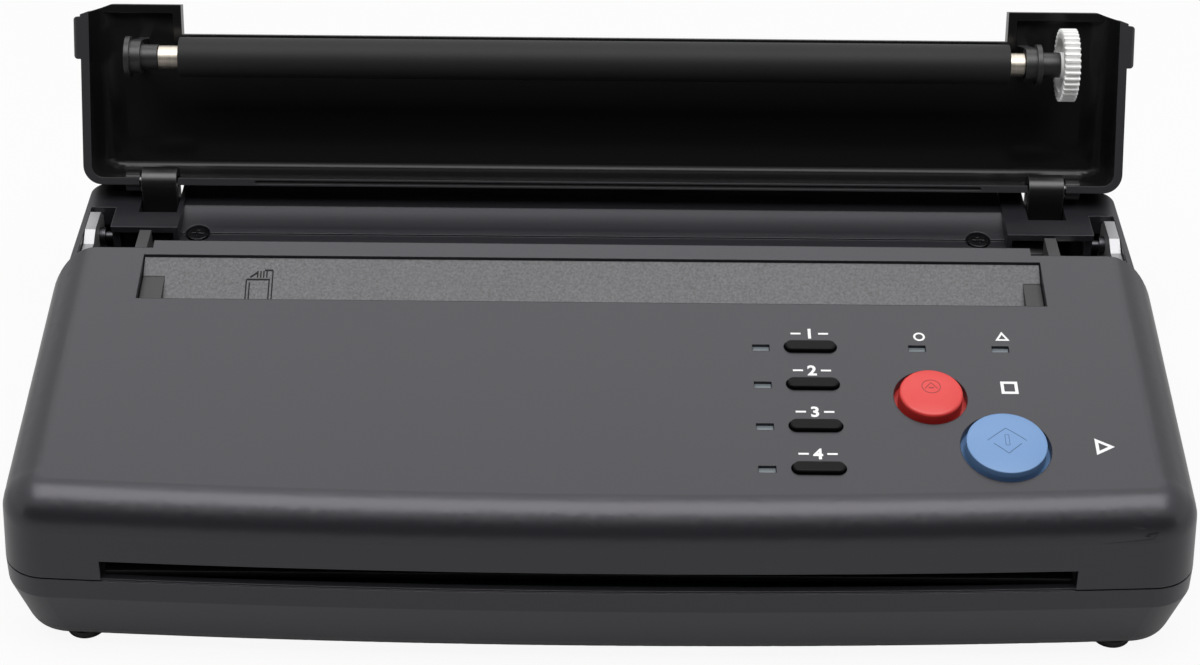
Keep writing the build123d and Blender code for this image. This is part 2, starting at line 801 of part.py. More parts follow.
stud_end_x = gear_x + gear_width + 0.6
shoulder_x = gear_x - 0.3
studs = [drive_axis, rear_idler_axis, front_idler_axis]
with BuildPart() as bearing_frame_right:
    with BuildSketch(Plane.YZ.offset(right_frame_x)):
        add(frame_outline())
        with Locations(pinion_axis):
            Circle(5.0, mode=Mode.SUBTRACT)
    extrude(amount=frame_thickness)
    with BuildSketch(Plane.XY.offset(tab_top_z)):
        deck_tab(deck_screws_at[1], deck_screws_at[1][0] - tab_reach, right_frame_x + frame_thickness)
    extrude(amount=-tab_thickness)
    with BuildSketch(Plane.YZ.offset(right_frame_x + frame_thickness)):
        screw_y = deck_screws_at[1][1]
        rectangle(screw_y - tab_width / 2, screw_y - tab_width / 2 + 2, frame_rear_z - 1, tab_top_z)
    extrude(amount=-frame_thickness - 3)
    # studs for the gears, each with a shoulder
    with BuildSketch(Plane.YZ.offset(right_frame_x + frame_thickness)):
        with Locations(*studs):
            Circle(stud_radius + 1.2)
    extrude(amount=shoulder_x - right_frame_x - frame_thickness)
    with BuildSketch(Plane.YZ.offset(right_frame_x + frame_thickness)):
        with Locations(*studs):
            Circle(stud_radius)
    extrude(amount=stud_end_x - right_frame_x - frame_thickness)
finish(bearing_frame_right, "bearing_frame_right")

# ---------- gears ----------


def gear_outline(teeth, phase):
    """Outline of a spur gear with straight flanks, its first tooth turned by the phase in degrees."""
    pitch_radius = gear_module * teeth / 2
    tip = pitch_radius + gear_module
    root = pitch_radius - 1.25 * gear_module
    corners = ((root, -root_share), (tip, -tip_share), (tip, tip_share), (root, root_share))
    points = []
    for tooth in range(teeth):
        for radius, share in corners:
            angle = math.radians(phase + (tooth + share) * 360 / teeth)
            points.append((radius * math.cos(angle), radius * math.sin(angle)))
    with BuildSketch() as outline:
        with BuildLine():
            Polyline(*points, close=True)
        make_face()
    return outline.sketch


def gear_blank(teeth, phase, axis, bore_radius, hub_radius, recess):
    """Spur gear about an axis along X, with a recessed web on its left face and a bore."""
    root = gear_module * teeth / 2 - 1.25 * gear_module
    with BuildPart() as gear:
        with BuildSketch(Plane.YZ.offset(gear_x)):
            with Locations(axis):
                add(gear_outline(teeth, phase))
        extrude(amount=gear_width)
        if recess > 0:
            with BuildSketch(Plane.YZ.offset(gear_x)):
                with Locations(axis):
                    Circle(root - 1.4)
                    Circle(hub_radius, mode=Mode.SUBTRACT)
            extrude(amount=recess, mode=Mode.SUBTRACT)
        with BuildSketch(Plane.YZ.offset(gear_x)):
            with Locations(axis):
                Circle(bore_radius)
        extrude(amount=gear_width, mode=Mode.SUBTRACT)
    return gear.part


web_recess = 1.4
stud_bore = stud_radius + running_gap
gear_hub = 3.6
with BuildPart() as drive_gear:
    add(gear_blank(drive_teeth, drive_phase, drive_axis, stud_bore, gear_hub, web_recess))
finish(drive_gear, "drive_gear")

with BuildPart() as idler_gear_rear:
    add(gear_blank(idler_teeth, rear_idler_phase, rear_idler_axis, stud_bore, gear_hub, web_recess))
finish(idler_gear_rear, "idler_gear_rear")

with BuildPart() as idler_gear_front:
    add(gear_blank(idler_teeth, front_idler_phase, front_idler_axis, stud_bore, gear_hub, web_recess))
finish(idler_gear_front, "idler_gear_front")

motor_shaft_radius = 1.0
with BuildPart() as motor_pinion:
    add(gear_blank(pinion_teeth, pinion_phase, pinion_axis, motor_shaft_radius, 0, 0))
finish(motor_pinion, "motor_pinion")

with BuildPart() as motor_shaft:
    with BuildSketch(Plane.YZ.offset(right_frame_x - motor_length + 2)):
        with Locations(pinion_axis):
            Circle(motor_shaft_radius)
    extrude(amount=gear_x + gear_width + 0.5 - right_frame_x + motor_length - 2)
finish(motor_shaft, "motor_shaft")

motor_ear_height = 28.0
with BuildPart() as stepper_motor:
    with BuildSketch(Plane.YZ.offset(right_frame_x)):
        with Locations(pinion_axis):
            Circle(motor_radius)
    extrude(amount=-motor_length)
    fillet(stepper_motor.edges().group_by(Axis.X)[0], 0.8)
    with BuildSketch(Plane.YZ.offset(right_frame_x)):
        with Locations(pinion_axis):
            SlotOverall(motor_ear_height, 8.0, rotation=90)
    extrude(amount=-1.0)
    with BuildSketch(Plane.YZ.offset(right_frame_x)):
        with Locations(pinion_axis):
            Circle(4.5)
    extrude(amount=frame_thickness / 2)
    with BuildSketch(Plane.YZ.offset(right_frame_x - motor_length + 2)):
        with Locations(pinion_axis):
            Circle(motor_shaft_radius + running_gap)
    extrude(amount=motor_length + frame_thickness, mode=Mode.SUBTRACT)
finish(stepper_motor, "stepper_motor")

# ---------- document roller ----------
with BuildPart() as document_roller_shaft:
    with BuildSketch(Plane.YZ.offset(left_frame_x - 1.5)):
        with Locations(document_axis):
            Circle(document_shaft_radius)
    extrude(amount=gear_x + gear_width + 1.0 - left_frame_x + 1.5)
finish(document_roller_shaft, "document_roller_shaft")

with BuildPart() as document_roller_rubber:
    with BuildSketch(Plane.YZ.offset(paper_middle_x - document_roller_length / 2)):
        with Locations(document_axis):
            Circle(document_roller_radius)
            Circle(document_shaft_radius, mode=Mode.SUBTRACT)
    extrude(amount=document_roller_length)
finish(document_roller_rubber, "document_roller_rubber")

with BuildPart() as document_roller_gear:
    add(gear_blank(document_teeth, document_phase, document_axis, document_shaft_radius, 4.0, web_recess))
finish(document_roller_gear, "document_roller_gear")

with BuildPart() as document_roller_bushes:
    for frame_x in (left_frame_x, right_frame_x):
        with BuildSketch(Plane.YZ.offset(frame_x)):
            with Locations(document_axis):
                Circle(document_shaft_radius + running_gap + bush_wall)
        extrude(amount=frame_thickness)
        with BuildSketch(Plane.YZ.offset(frame_x)):
            with Locations(document_axis):
                Circle(document_shaft_radius + running_gap + bush_wall + 1)
        extrude(amount=-0.8)
    with BuildSketch(Plane.YZ.offset(left_frame_x - 1)):
        with Locations(document_axis):
            Circle(document_shaft_radius + running_gap)
    extrude(amount=right_frame_x + 10 - left_frame_x, mode=Mode.SUBTRACT)
finish(document_roller_bushes, "document_roller_bushes")

# ---------- print head ----------
with BuildPart() as print_head:
    with BuildSketch(Plane.XY.offset(carrier_top_z)):
        with Locations((paper_middle_x, head_middle_y)):
            Rectangle(head_length, head_width)
    extrude(amount=head_height)
    # the heating line under the platen and the raised cover over the driver chips
    with BuildSketch(Plane.XY.offset(head_top_z)):
        with Locations((paper_middle_x, platen_axis[0])):
            Rectangle(head_length - 5, 1.4)
    extrude(amount=0.15)
    with BuildSketch(Plane.XY.offset(head_top_z)):
        with Locations((paper_middle_x, platen_axis[0] + platen_radius + 2.0)):
            Rectangle(head_length - 12, 3.4)
    extrude(amount=1.2, taper=20)
finish(print_head, "print_head")

with BuildPart() as head_carrier:
    with BuildSketch(Plane.XY.offset(carrier_base_z)):
        rectangle(
            left_frame_x + frame_thickness + 0.3,
            right_frame_x - 0.3,
            head_middle_y - head_width / 2 + 2,
            head_middle_y + head_width / 2 - 2,
        )
    extrude(amount=carrier_height)
finish(head_carrier, "head_carrier")

with BuildPart() as head_springs:
    for place in spring_places:
        start = (place[0], place[1], post_top_z + spring_wire_radius)
        with BuildLine():
            coil = Helix(
                pitch=(spring_height - 2 * spring_wire_radius) / spring_turns,
                height=spring_height - 2 * spring_wire_radius,
                radius=spring_radius,
                center=start,
            )
        with BuildSketch(Plane(origin=coil @ 0, z_dir=coil % 0)):
            Circle(spring_wire_radius)
        sweep(path=coil)
finish(head_springs, "head_springs")

# ---------- boards ----------
with BuildPart() as main_board:
    with BuildSketch(Plane.XY.offset(board_z)):
        with Locations(main_board_middle):
            Rectangle(*main_board_size)
        with Locations(*board_corners(main_board_size, main_board_middle)):
            Circle(1.2, mode=Mode.SUBTRACT)
    extrude(amount=board_thickness)
    # processor, memory and a row of connectors
    with BuildSketch(Plane.XY.offset(board_z + board_thickness)):
        with Locations((main_board_middle[0] - 20, main_board_middle[1])):
            Rectangle(16, 16)
        with Locations((main_board_middle[0] + 8, main_board_middle[1] + 2)):
            Rectangle(12, 9)
    extrude(amount=1.4)
    with BuildSketch(Plane.XY.offset(board_z + board_thickness)):
        with Locations((main_board_middle[0] + 30, main_board_middle[1] + 10)):
            with GridLocations(14, 1, 4, 1):
                Rectangle(10, 5)
    extrude(amount=5)
finish(main_board, "main_board")

with BuildPart() as power_board:
    with BuildSketch(Plane.XY.offset(board_z)):
        with Locations(power_board_middle):
            Rectangle(*power_board_size)
        with Locations(*board_corners(power_board_size, power_board_middle)):
            Circle(1.2, mode=Mode.SUBTRACT)
    extrude(amount=board_thickness)
    # transformer, reservoir capacitors and heat sink
    with BuildSketch(Plane.XY.offset(board_z + board_thickness)):
        with Locations((power_board_middle[0] - 5, power_board_middle[1])):
            Rectangle(22, 19)
    extrude(amount=14)
    with BuildSketch(Plane.XY.offset(board_z + board_thickness)):
        with Locations((power_board_middle[0] - 38, power_board_middle[1])):
            with GridLocations(14, 1, 2, 1):
                Circle(6)
    extrude(amount=18)
    with BuildSketch(Plane.XY.offset(board_z + board_thickness)):
        with Locations((power_board_middle[0] + 30, power_board_middle[1])):
            with GridLocations(3.5, 1, 6, 1):
                Rectangle(1.5, 18)
            Rectangle(19, 2)
    extrude(amount=14)
finish(power_board, "power_board")

with BuildPart() as key_board:
    with BuildSketch(panel.offset(-key_board_depth)):
        rectangle(key_board_low_x, key_board_high_x, key_board_low_row, key_board_high_row)
    extrude(amount=-board_thickness)
finish(key_board, "key_board")

switch_places = [(key_x, row) for row in key_rows] + [stop_place, start_place]
with BuildPart() as key_switches:
    with BuildSketch(panel.offset(-key_board_depth)):
        with Locations(*switch_places):
            Rectangle(4.5, 4.5)
    extrude(amount=switch_height)
    with BuildSketch(panel.offset(-key_board_depth + switch_height)):
        with Locations(*switch_places):
            Circle(1.0)
    extrude(amount=actuator_height)
finish(key_switches, "key_switches")

# ---------- keys, buttons and lamps ----------
press_gap = 0.2  # between a pressed key's plunger and the bottom of its switch's travel
actuator_depth = key_board_depth - switch_height - actuator_height


def key_part(row):
    """Pill-shaped key with a flange under the panel and a plunger over its switch."""
    place = (key_x, row)
    with BuildPart() as key:
        with BuildSketch(panel.offset(-flange_depth - flange_thickness)):
            with Locations(place):
                SlotOverall(key_length + 2 * flange_reach, key_width + 2 * flange_reach)
        extrude(amount=flange_thickness)
        with BuildSketch(panel.offset(-flange_depth)):
            with Locations(place):
                SlotOverall(key_length, key_width)
        extrude(amount=flange_depth + key_proud)
        top = key.faces().sort_by(Axis((0, 0, 0), panel.z_dir))[-1]
        fillet(top.edges(), 0.5)
        with BuildSketch(panel.offset(-flange_depth - flange_thickness)):
            with Locations(place):
                Circle(1.2)
        extrude(amount=-(actuator_depth - key_travel - press_gap - flange_depth - flange_thickness))
    return key.part


for number, row in enumerate(key_rows, start=1):
    with BuildPart() as key:
        add(key_part(row))
    finish(key, f"key_{number}")


def round_button(place, radius, hole_radius):
    """Round button with a domed top, a flange under the panel and a stem over its switch."""
    flange_low = flange_depth + flange_thickness
    stem_low = actuator_depth - button_travel - press_gap
    layers = (
        (stem_low, stem_low - flange_low, 2.0),
        (flange_low, flange_thickness, hole_radius + button_flange_reach),
        (flange_depth, flange_depth + button_proud, radius),
    )
    dome_radius = (radius**2 + button_dome**2) / (2 * button_dome)
    with BuildPart() as button:
        for depth, height, layer_radius in layers:
            with BuildSketch(panel.offset(-depth)):
                with Locations(place):
                    Circle(layer_radius)
            extrude(amount=height)
        with Locations(panel.offset(button_proud - dome_radius) * Location((*place, 0))):
            Sphere(dome_radius, mode=Mode.INTERSECT)
        circles = button.edges().filter_by(GeomType.CIRCLE)
        rims = circles.filter_by(lambda edge: abs(edge.radius - radius) < 0.01)
        fillet(rims.sort_by(Axis((0, 0, 0), panel.z_dir))[-1], 0.7)
    return button.part


with BuildPart() as stop_button:
    add(round_button(stop_place, stop_radius, stop_hole_radius))
finish(stop_button, "stop_button")

with BuildPart() as start_button:
    add(round_button(start_place, start_radius, start_hole_radius))
finish(start_button, "start_button")

lamp_fit = 0.05
lamp_sink = 0.8
with BuildPart() as indicator_lenses:
    with BuildSketch(panel.offset(-lamp_sink)):
        with Locations(*lamp_places):
            Rectangle(lamp_length - 2 * lamp_fit, lamp_width - 2 * lamp_fit)
    extrude(amount=-cover_wall - 0.6)
    with BuildSketch(panel.offset(-cover_wall)):
        with Locations(*lamp_places):
            Rectangle(lamp_length + 1.2, lamp_width + 1.2)
    extrude(amount=-0.8)
finish(indicator_lenses, "indicator_lenses")

# ---------- power entry ----------
wall_fit = 0.2
inlet_body_depth = 15.0
flange_plate = 1.4
with BuildPart() as power_inlet:
    with BuildSketch(Plane.XZ.offset(-back_y)):
        with Locations((inlet_x, inlet_z)):
            RectangleRounded(inlet_length, inlet_height, 2)
    extrude(amount=-flange_plate)
    with BuildSketch(Plane.XZ.offset(-back_y)):
        with Locations((inlet_x, inlet_z)):
            Rectangle(inlet_length - 4 - 2 * wall_fit, inlet_height - 2 - 2 * wall_fit)
    extrude(amount=inlet_body_depth)
    with BuildSketch(Plane.XZ.offset(-back_y - flange_plate)):
        with Locations((inlet_x, inlet_z)):
            SlotOverall(inlet_socket_length, inlet_socket_height)
    extrude(amount=inlet_body_depth, mode=Mode.SUBTRACT)
    with BuildSketch(Plane.XZ.offset(-back_y + inlet_body_depth - 1)):
        with Locations((inlet_x - 4.3, inlet_z), (inlet_x + 4.3, inlet_z)):
            Circle(1.2)
    extrude(amount=-inlet_body_depth + 4)
finish(power_inlet, "power_inlet")

switch_body_depth = 14.0
rocker_pivot_y = back_y + flange_plate - 2.0
with BuildPart() as power_switch_frame:
    with BuildSketch(Plane.XZ.offset(-back_y)):
        with Locations((switch_x, inlet_z)):
            RectangleRounded(switch_length, switch_frame_height, 1)
    extrude(amount=-flange_plate)
    with BuildSketch(Plane.XZ.offset(-back_y)):
        with Locations((switch_x, inlet_z)):
            Rectangle(switch_length - 2 - 2 * wall_fit, switch_frame_height - 2 - 2 * wall_fit)
    extrude(amount=switch_body_depth)
    with BuildSketch(Plane.XZ.offset(-back_y - flange_plate)):
        with Locations((switch_x, inlet_z)):
            Rectangle(rocker_length + 0.8, rocker_height + 0.6)
    extrude(amount=9.0, mode=Mode.SUBTRACT)
    # pivot pins of the rocker
    with BuildSketch(Plane.XY.offset(inlet_z - rocker_height / 2 - 0.4)):
        with Locations((switch_x, rocker_pivot_y)):
            Circle(1.0)
    extrude(amount=rocker_height + 0.8)
finish(power_switch_frame, "power_switch_frame")

rocker_reach = rocker_length / 2
rocker_edge = 1.4
tilt = math.radians(rocker_tilt)
rocker_plane = Plane(
    origin=(switch_x, rocker_pivot_y, inlet_z - rocker_height / 2),
    x_dir=(math.cos(tilt), math.sin(tilt), 0),
    z_dir=(0, 0, 1),
)
with BuildPart() as power_switch_rocker:
    with BuildSketch(rocker_plane):
        with BuildLine():
            ThreePointArc(
                (-rocker_reach, rocker_edge + 1.9), (0, rocker_edge + 0.7), (rocker_reach, rocker_edge + 1.9)
            )
            Polyline(
                (rocker_reach, rocker_edge + 1.9),
                (rocker_reach - 0.6, -1.2),
                (2.4, -4.0),
                (-2.4, -4.0),
                (-rocker_reach + 0.6, -1.2),
                (-rocker_reach, rocker_edge + 1.9),
            )
        make_face()
        Circle(1.0 + running_gap, mode=Mode.SUBTRACT)
    extrude(amount=rocker_height)
finish(power_switch_rocker, "power_switch_rocker")


# ---------- rear housing ----------
housing_half = housing_width / 2
inner_half = housing_half - housing_side_wall
bracket_pocket_y = hinge_y - bracket_radius - pocket_front_gap
plate_rib_thickness = 2.0
plate_screw_depth = platform_depth + 3.2
plate_screw_z = housing_top_z - 4.9
deck_front_y = front_y + deck_front_depth
well_front_y = front_y + housing_front_depth - 1

with BuildPart() as rear_housing:
    with BuildSketch(Plane.XY.offset(seam_z)) as housing_plan:
        with Locations((0, back_y)):
            Rectangle(housing_width, body_depth - housing_front_depth, align=(Align.CENTER, Align.MAX))
        fillet(housing_plan.vertices().sort_by(Axis.Y)[-2:], rear_corner_radius)
        add(cover_footprint(-housing_gap), mode=Mode.SUBTRACT)
    extrude(amount=housing_top_z - seam_z)
    # deck: a low strip, a small step, a hollow slope and a flat behind
    with BuildSketch(Plane.YZ.offset(deck_low_x)):
        with BuildLine():
            step_y = front_y + deck_step_depth
            flat_y = front_y + deck_flat_depth
            step_z = deck_low_z + deck_step
            Polyline((flat_y, deck_high_z), (back_y + 1, deck_high_z), (back_y + 1, high))
            Polyline((back_y + 1, high), (deck_front_y, high), (deck_front_y, deck_low_z))
            Polyline((deck_front_y, deck_low_z), (step_y, deck_low_z), (step_y, step_z))
            ThreePointArc(
                (step_y, step_z),
                ((step_y + flat_y) / 2, (step_z + deck_high_z) / 2 - deck_curve_sag),
                (flat_y, deck_high_z),
            )
        make_face()
    extrude(amount=deck_width, mode=Mode.SUBTRACT)
    # room for the works under the deck and the platforms
    with BuildSketch(Plane.XY.offset(seam_z)):
        rectangle(-inner_half, inner_half, deck_front_y + housing_wall, back_y - housing_wall)
    extrude(amount=platform_floor_z - seam_z, mode=Mode.SUBTRACT)
    # the print head's bay and the wells at its ends
    with BuildSketch(Plane.XY.offset(seam_z)):
        rectangle(-inner_half, inner_half, well_front_y, deck_front_y)
        for inner_x, outer_x in ((deck_low_x, -inner_half), (deck_high_x, inner_half)):
            rectangle(min(inner_x, outer_x), max(inner_x, outer_x), deck_front_y - 1, platform_y)
        for side in (-1, 1):
            low_x, high_x = sorted((side * pocket_half_width, side * inner_half))
            rectangle(low_x, high_x, platform_y - 1, front_y + pocket_depth)
    extrude(amount=high - seam_z, mode=Mode.SUBTRACT)
    # pockets for the hinge brackets
    with BuildSketch(Plane.XY.offset(bracket_base_z)):
        for side in (-1, 1):
            middle_x = side * bracket_middle_x
            reach = bracket_width / 2 + bracket_side_gap
            rectangle(middle_x - reach, middle_x + reach, bracket_pocket_y, back_y + 1)
    extrude(amount=high - bracket_base_z, mode=Mode.SUBTRACT)
    # the platforms are thin in front of the brackets
    with BuildSketch(Plane.XY.offset(platform_floor_z)):
        for inner_x, outer_x in (
            (deck_low_x - housing_side_wall, -inner_half),
            (deck_high_x + housing_side_wall, inner_half),
        ):
            low_x, high_x = sorted((inner_x, outer_x))
            rectangle(low_x, high_x, platform_y - 1, bracket_pocket_y - housing_side_wall)
    extrude(amount=housing_top_z - platform_thickness - platform_floor_z, mode=Mode.SUBTRACT)
    # ribs under them that carry the side plates' screws
    with BuildSketch(Plane.XY.offset(plate_screw_z - plate_rib_thickness)):
        for side in (-1, 1):
            rib_x = pocket_half_width - plate_rib_thickness
            low_x, high_x = sorted((side * pocket_half_width, side * rib_x))
            screw_y = front_y + plate_screw_depth
            rectangle(low_x, high_x, screw_y - plate_rib_thickness, screw_y + plate_rib_thickness)
    extrude(amount=housing_top_z - platform_thickness - plate_screw_z + plate_rib_thickness)
    # deck screws
    with BuildSketch(Plane.XY.offset(screw_recess_z)):
        with Locations(*deck_screws_at):
            Circle(screw_recess_radius)
    extrude(amount=high - screw_recess_z, mode=Mode.SUBTRACT)
    with BuildSketch(Plane.XY.offset(platform_floor_z)):
        with Locations(*deck_screws_at):
            Circle(screw_radius)
    extrude(amount=screw_recess_z - platform_floor_z, mode=Mode.SUBTRACT)
    # bosses for the base screws
    with BuildSketch(Plane.XY.offset(seam_z)):
        with Locations(*rear_screws):
            Circle(boss_radius)
    extrude(amount=platform_floor_z - seam_z)
    with BuildSketch(Plane.XY.offset(seam_z)):
        with Locations(*rear_screws):
            Circle(screw_radius)
    extrude(amount=base_screw_bite + 1, mode=Mode.SUBTRACT)
finish(rear_housing, "rear_housing")

deck_screw_head = 1.3
with BuildPart() as deck_screws:
    with BuildSketch(Plane.XY.offset(screw_recess_z)):
        with Locations(*deck_screws_at):
            Circle(screw_head_radius)
    extrude(amount=deck_screw_head)
    with BuildSketch(Plane.XY.offset(screw_recess_z + deck_screw_head)):
        with Locations(*deck_screws_at):
            Rectangle(3.2, 0.7)
            Rectangle(0.7, 3.2)
    extrude(amount=-0.7, mode=Mode.SUBTRACT)
    with BuildSketch(Plane.XY.offset(screw_recess_z)):
        with Locations(*deck_screws_at):
            Circle(screw_radius)
    extrude(amount=-(screw_recess_z - tab_top_z + tab_thickness + 1.5))
finish(deck_screws, "deck_screws")

side_plate_chamfer = 2.5
for side, name in ((-1, "side_plate_left"), (1, "side_plate_right")):
    with BuildPart() as side_plate:
        with BuildSketch(Plane.YZ.offset(side * side_plate_x)) as plate_outline:
            with BuildLine():
                Polyline(
                    (front_y + side_plate_front_depth, side_plate_base_z),
                    (front_y + side_plate_back_depth, side_plate_base_z),
                    (front_y + side_plate_back_depth, side_plate_top_z),
                    (front_y + side_plate_rise_depth + 4, side_plate_top_z),
                    (front_y + side_plate_rise_depth, side_plate_low_z),
                    (front_y + side_plate_front_depth, side_plate_low_z),
                    close=True,
                )
            make_face()
            chamfer(plate_outline.vertices().group_by(Axis.X)[-1].sort_by(Axis.Y)[-1], side_plate_chamfer)
        extrude(amount=side * side_plate_thickness)
    finish(side_plate, name)

plate_screw_head = 1.5
with BuildPart() as plate_screws:
    for side in (-1, 1):
        for start_x, radius in ((pocket_half_width, 1.3), (side_plate_x - plate_screw_head, 2.3)):
            with BuildSketch(Plane.YZ.offset(side * start_x)):
                with Locations((front_y + plate_screw_depth, plate_screw_z)):
                    Circle(radius)
            extrude(amount=side * (side_plate_x - start_x))
finish(plate_screws, "plate_screws")

for side, name in ((-1, "hinge_bracket_left"), (1, "hinge_bracket_right")):
    with BuildPart() as hinge_bracket:
        with BuildSketch(Plane.YZ.offset(side * bracket_middle_x - bracket_width / 2)):
            rectangle(hinge_y - bracket_radius, hinge_y + bracket_tail, bracket_base_z, hinge_z)
            with Locations((hinge_y, hinge_z)):
                Circle(bracket_radius)
                Circle(hinge_pin_radius + running_gap, mode=Mode.SUBTRACT)
        extrude(amount=bracket_width)
    finish(hinge_bracket, name)

# ---------- lid, drawn closed and then swung open about the hinge ----------
lid_front_y = front_y + ear_depth + lid_front_gap
lid_back_y = front_y + lid_back_depth
lid_half = lid_width / 2
notch_low_x = chute_low_x + tongue_inset - notch_gap
notch_high_x = chute_high_x - tongue_inset + notch_gap
notch_back_y = front_y + tongue_depth + exit_gap


def lid_block(inset, back_inset, front):
    """Form of the lid, moved inwards: rounded along its sides and its back, open at the rim."""
    with BuildPart() as block:
        with BuildSketch(Plane.XY.offset(lid_rim_z)):
            rectangle(-lid_half + inset, lid_half - inset, front, lid_back_y - back_inset)
        extrude(amount=high - lid_rim_z)
        split(bisect_by=panel.offset(-inset), keep=Keep.BOTTOM)
        top = block.faces().sort_by(Axis.Z)[-1]
        fillet(top.edges().group_by(Axis.X)[0] + top.edges().group_by(Axis.X)[-1], lid_edge_radius - inset)
        back = block.faces().sort_by(Axis.Y)[-1]
        fillet(back.edges().group_by(Axis.Z)[1:], lid_back_radius - back_inset)
    return block.part


lid_back_radius = 5.0
with BuildPart() as lid_cavity:
    add(lid_block(lid_wall, lid_back_wall, lid_front_y + lid_wall))
    with BuildSketch(Plane.XY.offset(lid_rim_z)):
        rectangle(notch_low_x - lid_wall, notch_high_x + lid_wall, lid_front_y, notch_back_y + lid_wall)
    extrude(amount=high - lid_rim_z, mode=Mode.SUBTRACT)

# below its lip the front is open
with BuildPart() as lid_mouth:
    add(lid_block(lid_wall, lid_back_wall, lid_front_y - 1))
    split(bisect_by=panel.offset(-lid_lip), keep=Keep.BOTTOM)


def open_lid(builder, name):
    """Swing a piece of the lid from its closed place to the open one, and write it."""
    builder.part = builder.part.rotate(hinge_axis, -lid_opening)
    finish(builder, name)


bush_left_end_x = left_bush_x + bush_width
right_sleeve_x = right_bush_x + bush_width + bush_flange_width
post_half = bush_radius
seat_fit = 0.05

with BuildPart() as lid_shell:
    add(lid_block(0, 0, lid_front_y))
    with BuildSketch(Plane.XY.offset(lid_rim_z)):
        rectangle(notch_low_x, notch_high_x, lid_front_y, notch_back_y)
    extrude(amount=high - lid_rim_z, mode=Mode.SUBTRACT)
    # finger grips on both sides
    with BuildSketch(Plane.XY.offset(lid_rim_z)):
        for side in (-1, 1):
            low_x, high_x = sorted((side * (lid_half - 1), side * (lid_half + grip_thickness)))
            rectangle(low_x, high_x, front_y + grip_depth, front_y + grip_depth + grip_length)
    extrude(amount=grip_height)
    grip_faces = lid_shell.faces().filter_by(Axis.X)
    fillet(grip_faces.sort_by(Axis.X)[0].edges() + grip_faces.sort_by(Axis.X)[-1].edges(), 1.2)
    # the front corners slope back
    with BuildSketch(Plane.XY.offset(lid_rim_z)):
        for side in (-1, 1):
            with BuildLine():
                Polyline(
                    (side * (lid_half + 1), lid_front_y - 1),
                    (side * (lid_half - lid_corner_reach), lid_front_y - 1),
                    (side * (lid_half - lid_corner_reach), lid_front_y),
                    (side * lid_half, lid_front_y + lid_corner_drop),
                    (side * (lid_half + 1), lid_front_y + lid_corner_drop),
                    close=True,
                )
            make_face()
    extrude(amount=high - lid_rim_z, mode=Mode.SUBTRACT)
    add(lid_cavity.part, mode=Mode.SUBTRACT)
    add(lid_mouth.part, mode=Mode.SUBTRACT)
    # posts that hold the platen's bushes
    for start_x in (left_bush_x, right_bush_x):
        with BuildSketch(Plane.YZ.offset(start_x)):
            rectangle(
                platen_axis[0] - post_half,
                platen_axis[0] + post_half,
                platen_z + 1.0,
                panel_z(platen_depth) - lid_wall / 2,
            )
            with Locations(platen_axis):
                Circle(bush_radius + seat_fit, mode=Mode.SUBTRACT)
        extrude(amount=bush_width)
    # groove along the rim of the hinge wall
    with BuildSketch(Plane.XY.offset(lid_rim_z)):
        with Locations((rim_groove_middle_x, lid_back_y - lid_back_wall / 2)):
            SlotOverall(lid_width - 2 * rim_groove_margin, rim_groove_width)
    extrude(amount=rim_groove_width, mode=Mode.SUBTRACT)
    # openings for the brackets, then bosses that hold the pins beside them
    for side in (-1, 1):
        middle_x = side * bracket_middle_x
        reach = bracket_width / 2 + turning_gap
        with BuildSketch(Plane.XY.offset(lid_rim_z - 1)):
            rectangle(middle_x - reach, middle_x + reach, hinge_y - 6, lid_back_y + 1)
        extrude(amount=hinge_z + bracket_radius + 2 * turning_gap - lid_rim_z + 1, mode=Mode.SUBTRACT)
        with BuildSketch(Plane.YZ.offset(side * (bracket_middle_x + bracket_width / 2 + turning_gap))):
            with Locations((hinge_y, hinge_z)):
                Circle(hinge_boss_radius)
        extrude(amount=side * hinge_boss_width)
        with BuildSketch(Plane.YZ.offset(side * (bracket_middle_x + bracket_width / 2 - 1))):
            with Locations((hinge_y, hinge_z)):
                Circle(hinge_pin_radius)
        extrude(amount=side * (hinge_boss_width + 3), mode=Mode.SUBTRACT)
open_lid(lid_shell, "lid_shell")

for side, name in ((-1, "hinge_pin_left"), (1, "hinge_pin_right")):
    with BuildPart() as hinge_pin:
        with BuildSketch(Plane.YZ.offset(side * (bracket_middle_x - bracket_width / 2 + 1))):
            with Locations((hinge_y, hinge_z)):
                Circle(hinge_pin_radius)
        extrude(amount=side * (bracket_width - 1 + turning_gap + hinge_boss_width + 0.3))
    open_lid(hinge_pin, name)

# ---------- platen roller ----------
bush_bore = shaft_end_radius + running_gap
with BuildPart() as platen_bush_left:
    for start_x, length, radius in (
        (left_bush_x - bush_flange_width, bush_flange_width, bush_flange_radius),
        (left_bush_x, bush_width, bush_radius),
        (bush_left_end_x, left_core_x - end_gap - bush_left_end_x, sleeve_radius),
    ):
        with BuildSketch(Plane.YZ.offset(start_x)):
            with Locations(platen_axis):
                Circle(radius)
                Circle(bush_bore, mode=Mode.SUBTRACT)
        extrude(amount=length)
open_lid(platen_bush_left, "platen_bush_left")

gear_hub_x = gear_x - end_gap
with BuildPart() as platen_bush_right:
    for start_x, length, radius in (
        (right_bush_x, bush_width, bush_radius),
        (right_bush_x + bush_width, bush_flange_width, bush_flange_radius),
        (right_sleeve_x, gear_hub_x - right_sleeve_x, sleeve_radius),
    ):
        with BuildSketch(Plane.YZ.offset(start_x)):
            with Locations(platen_axis):
                Circle(radius)
                Circle(bush_bore, mode=Mode.SUBTRACT)
        extrude(amount=length)
open_lid(platen_bush_right, "platen_bush_right")

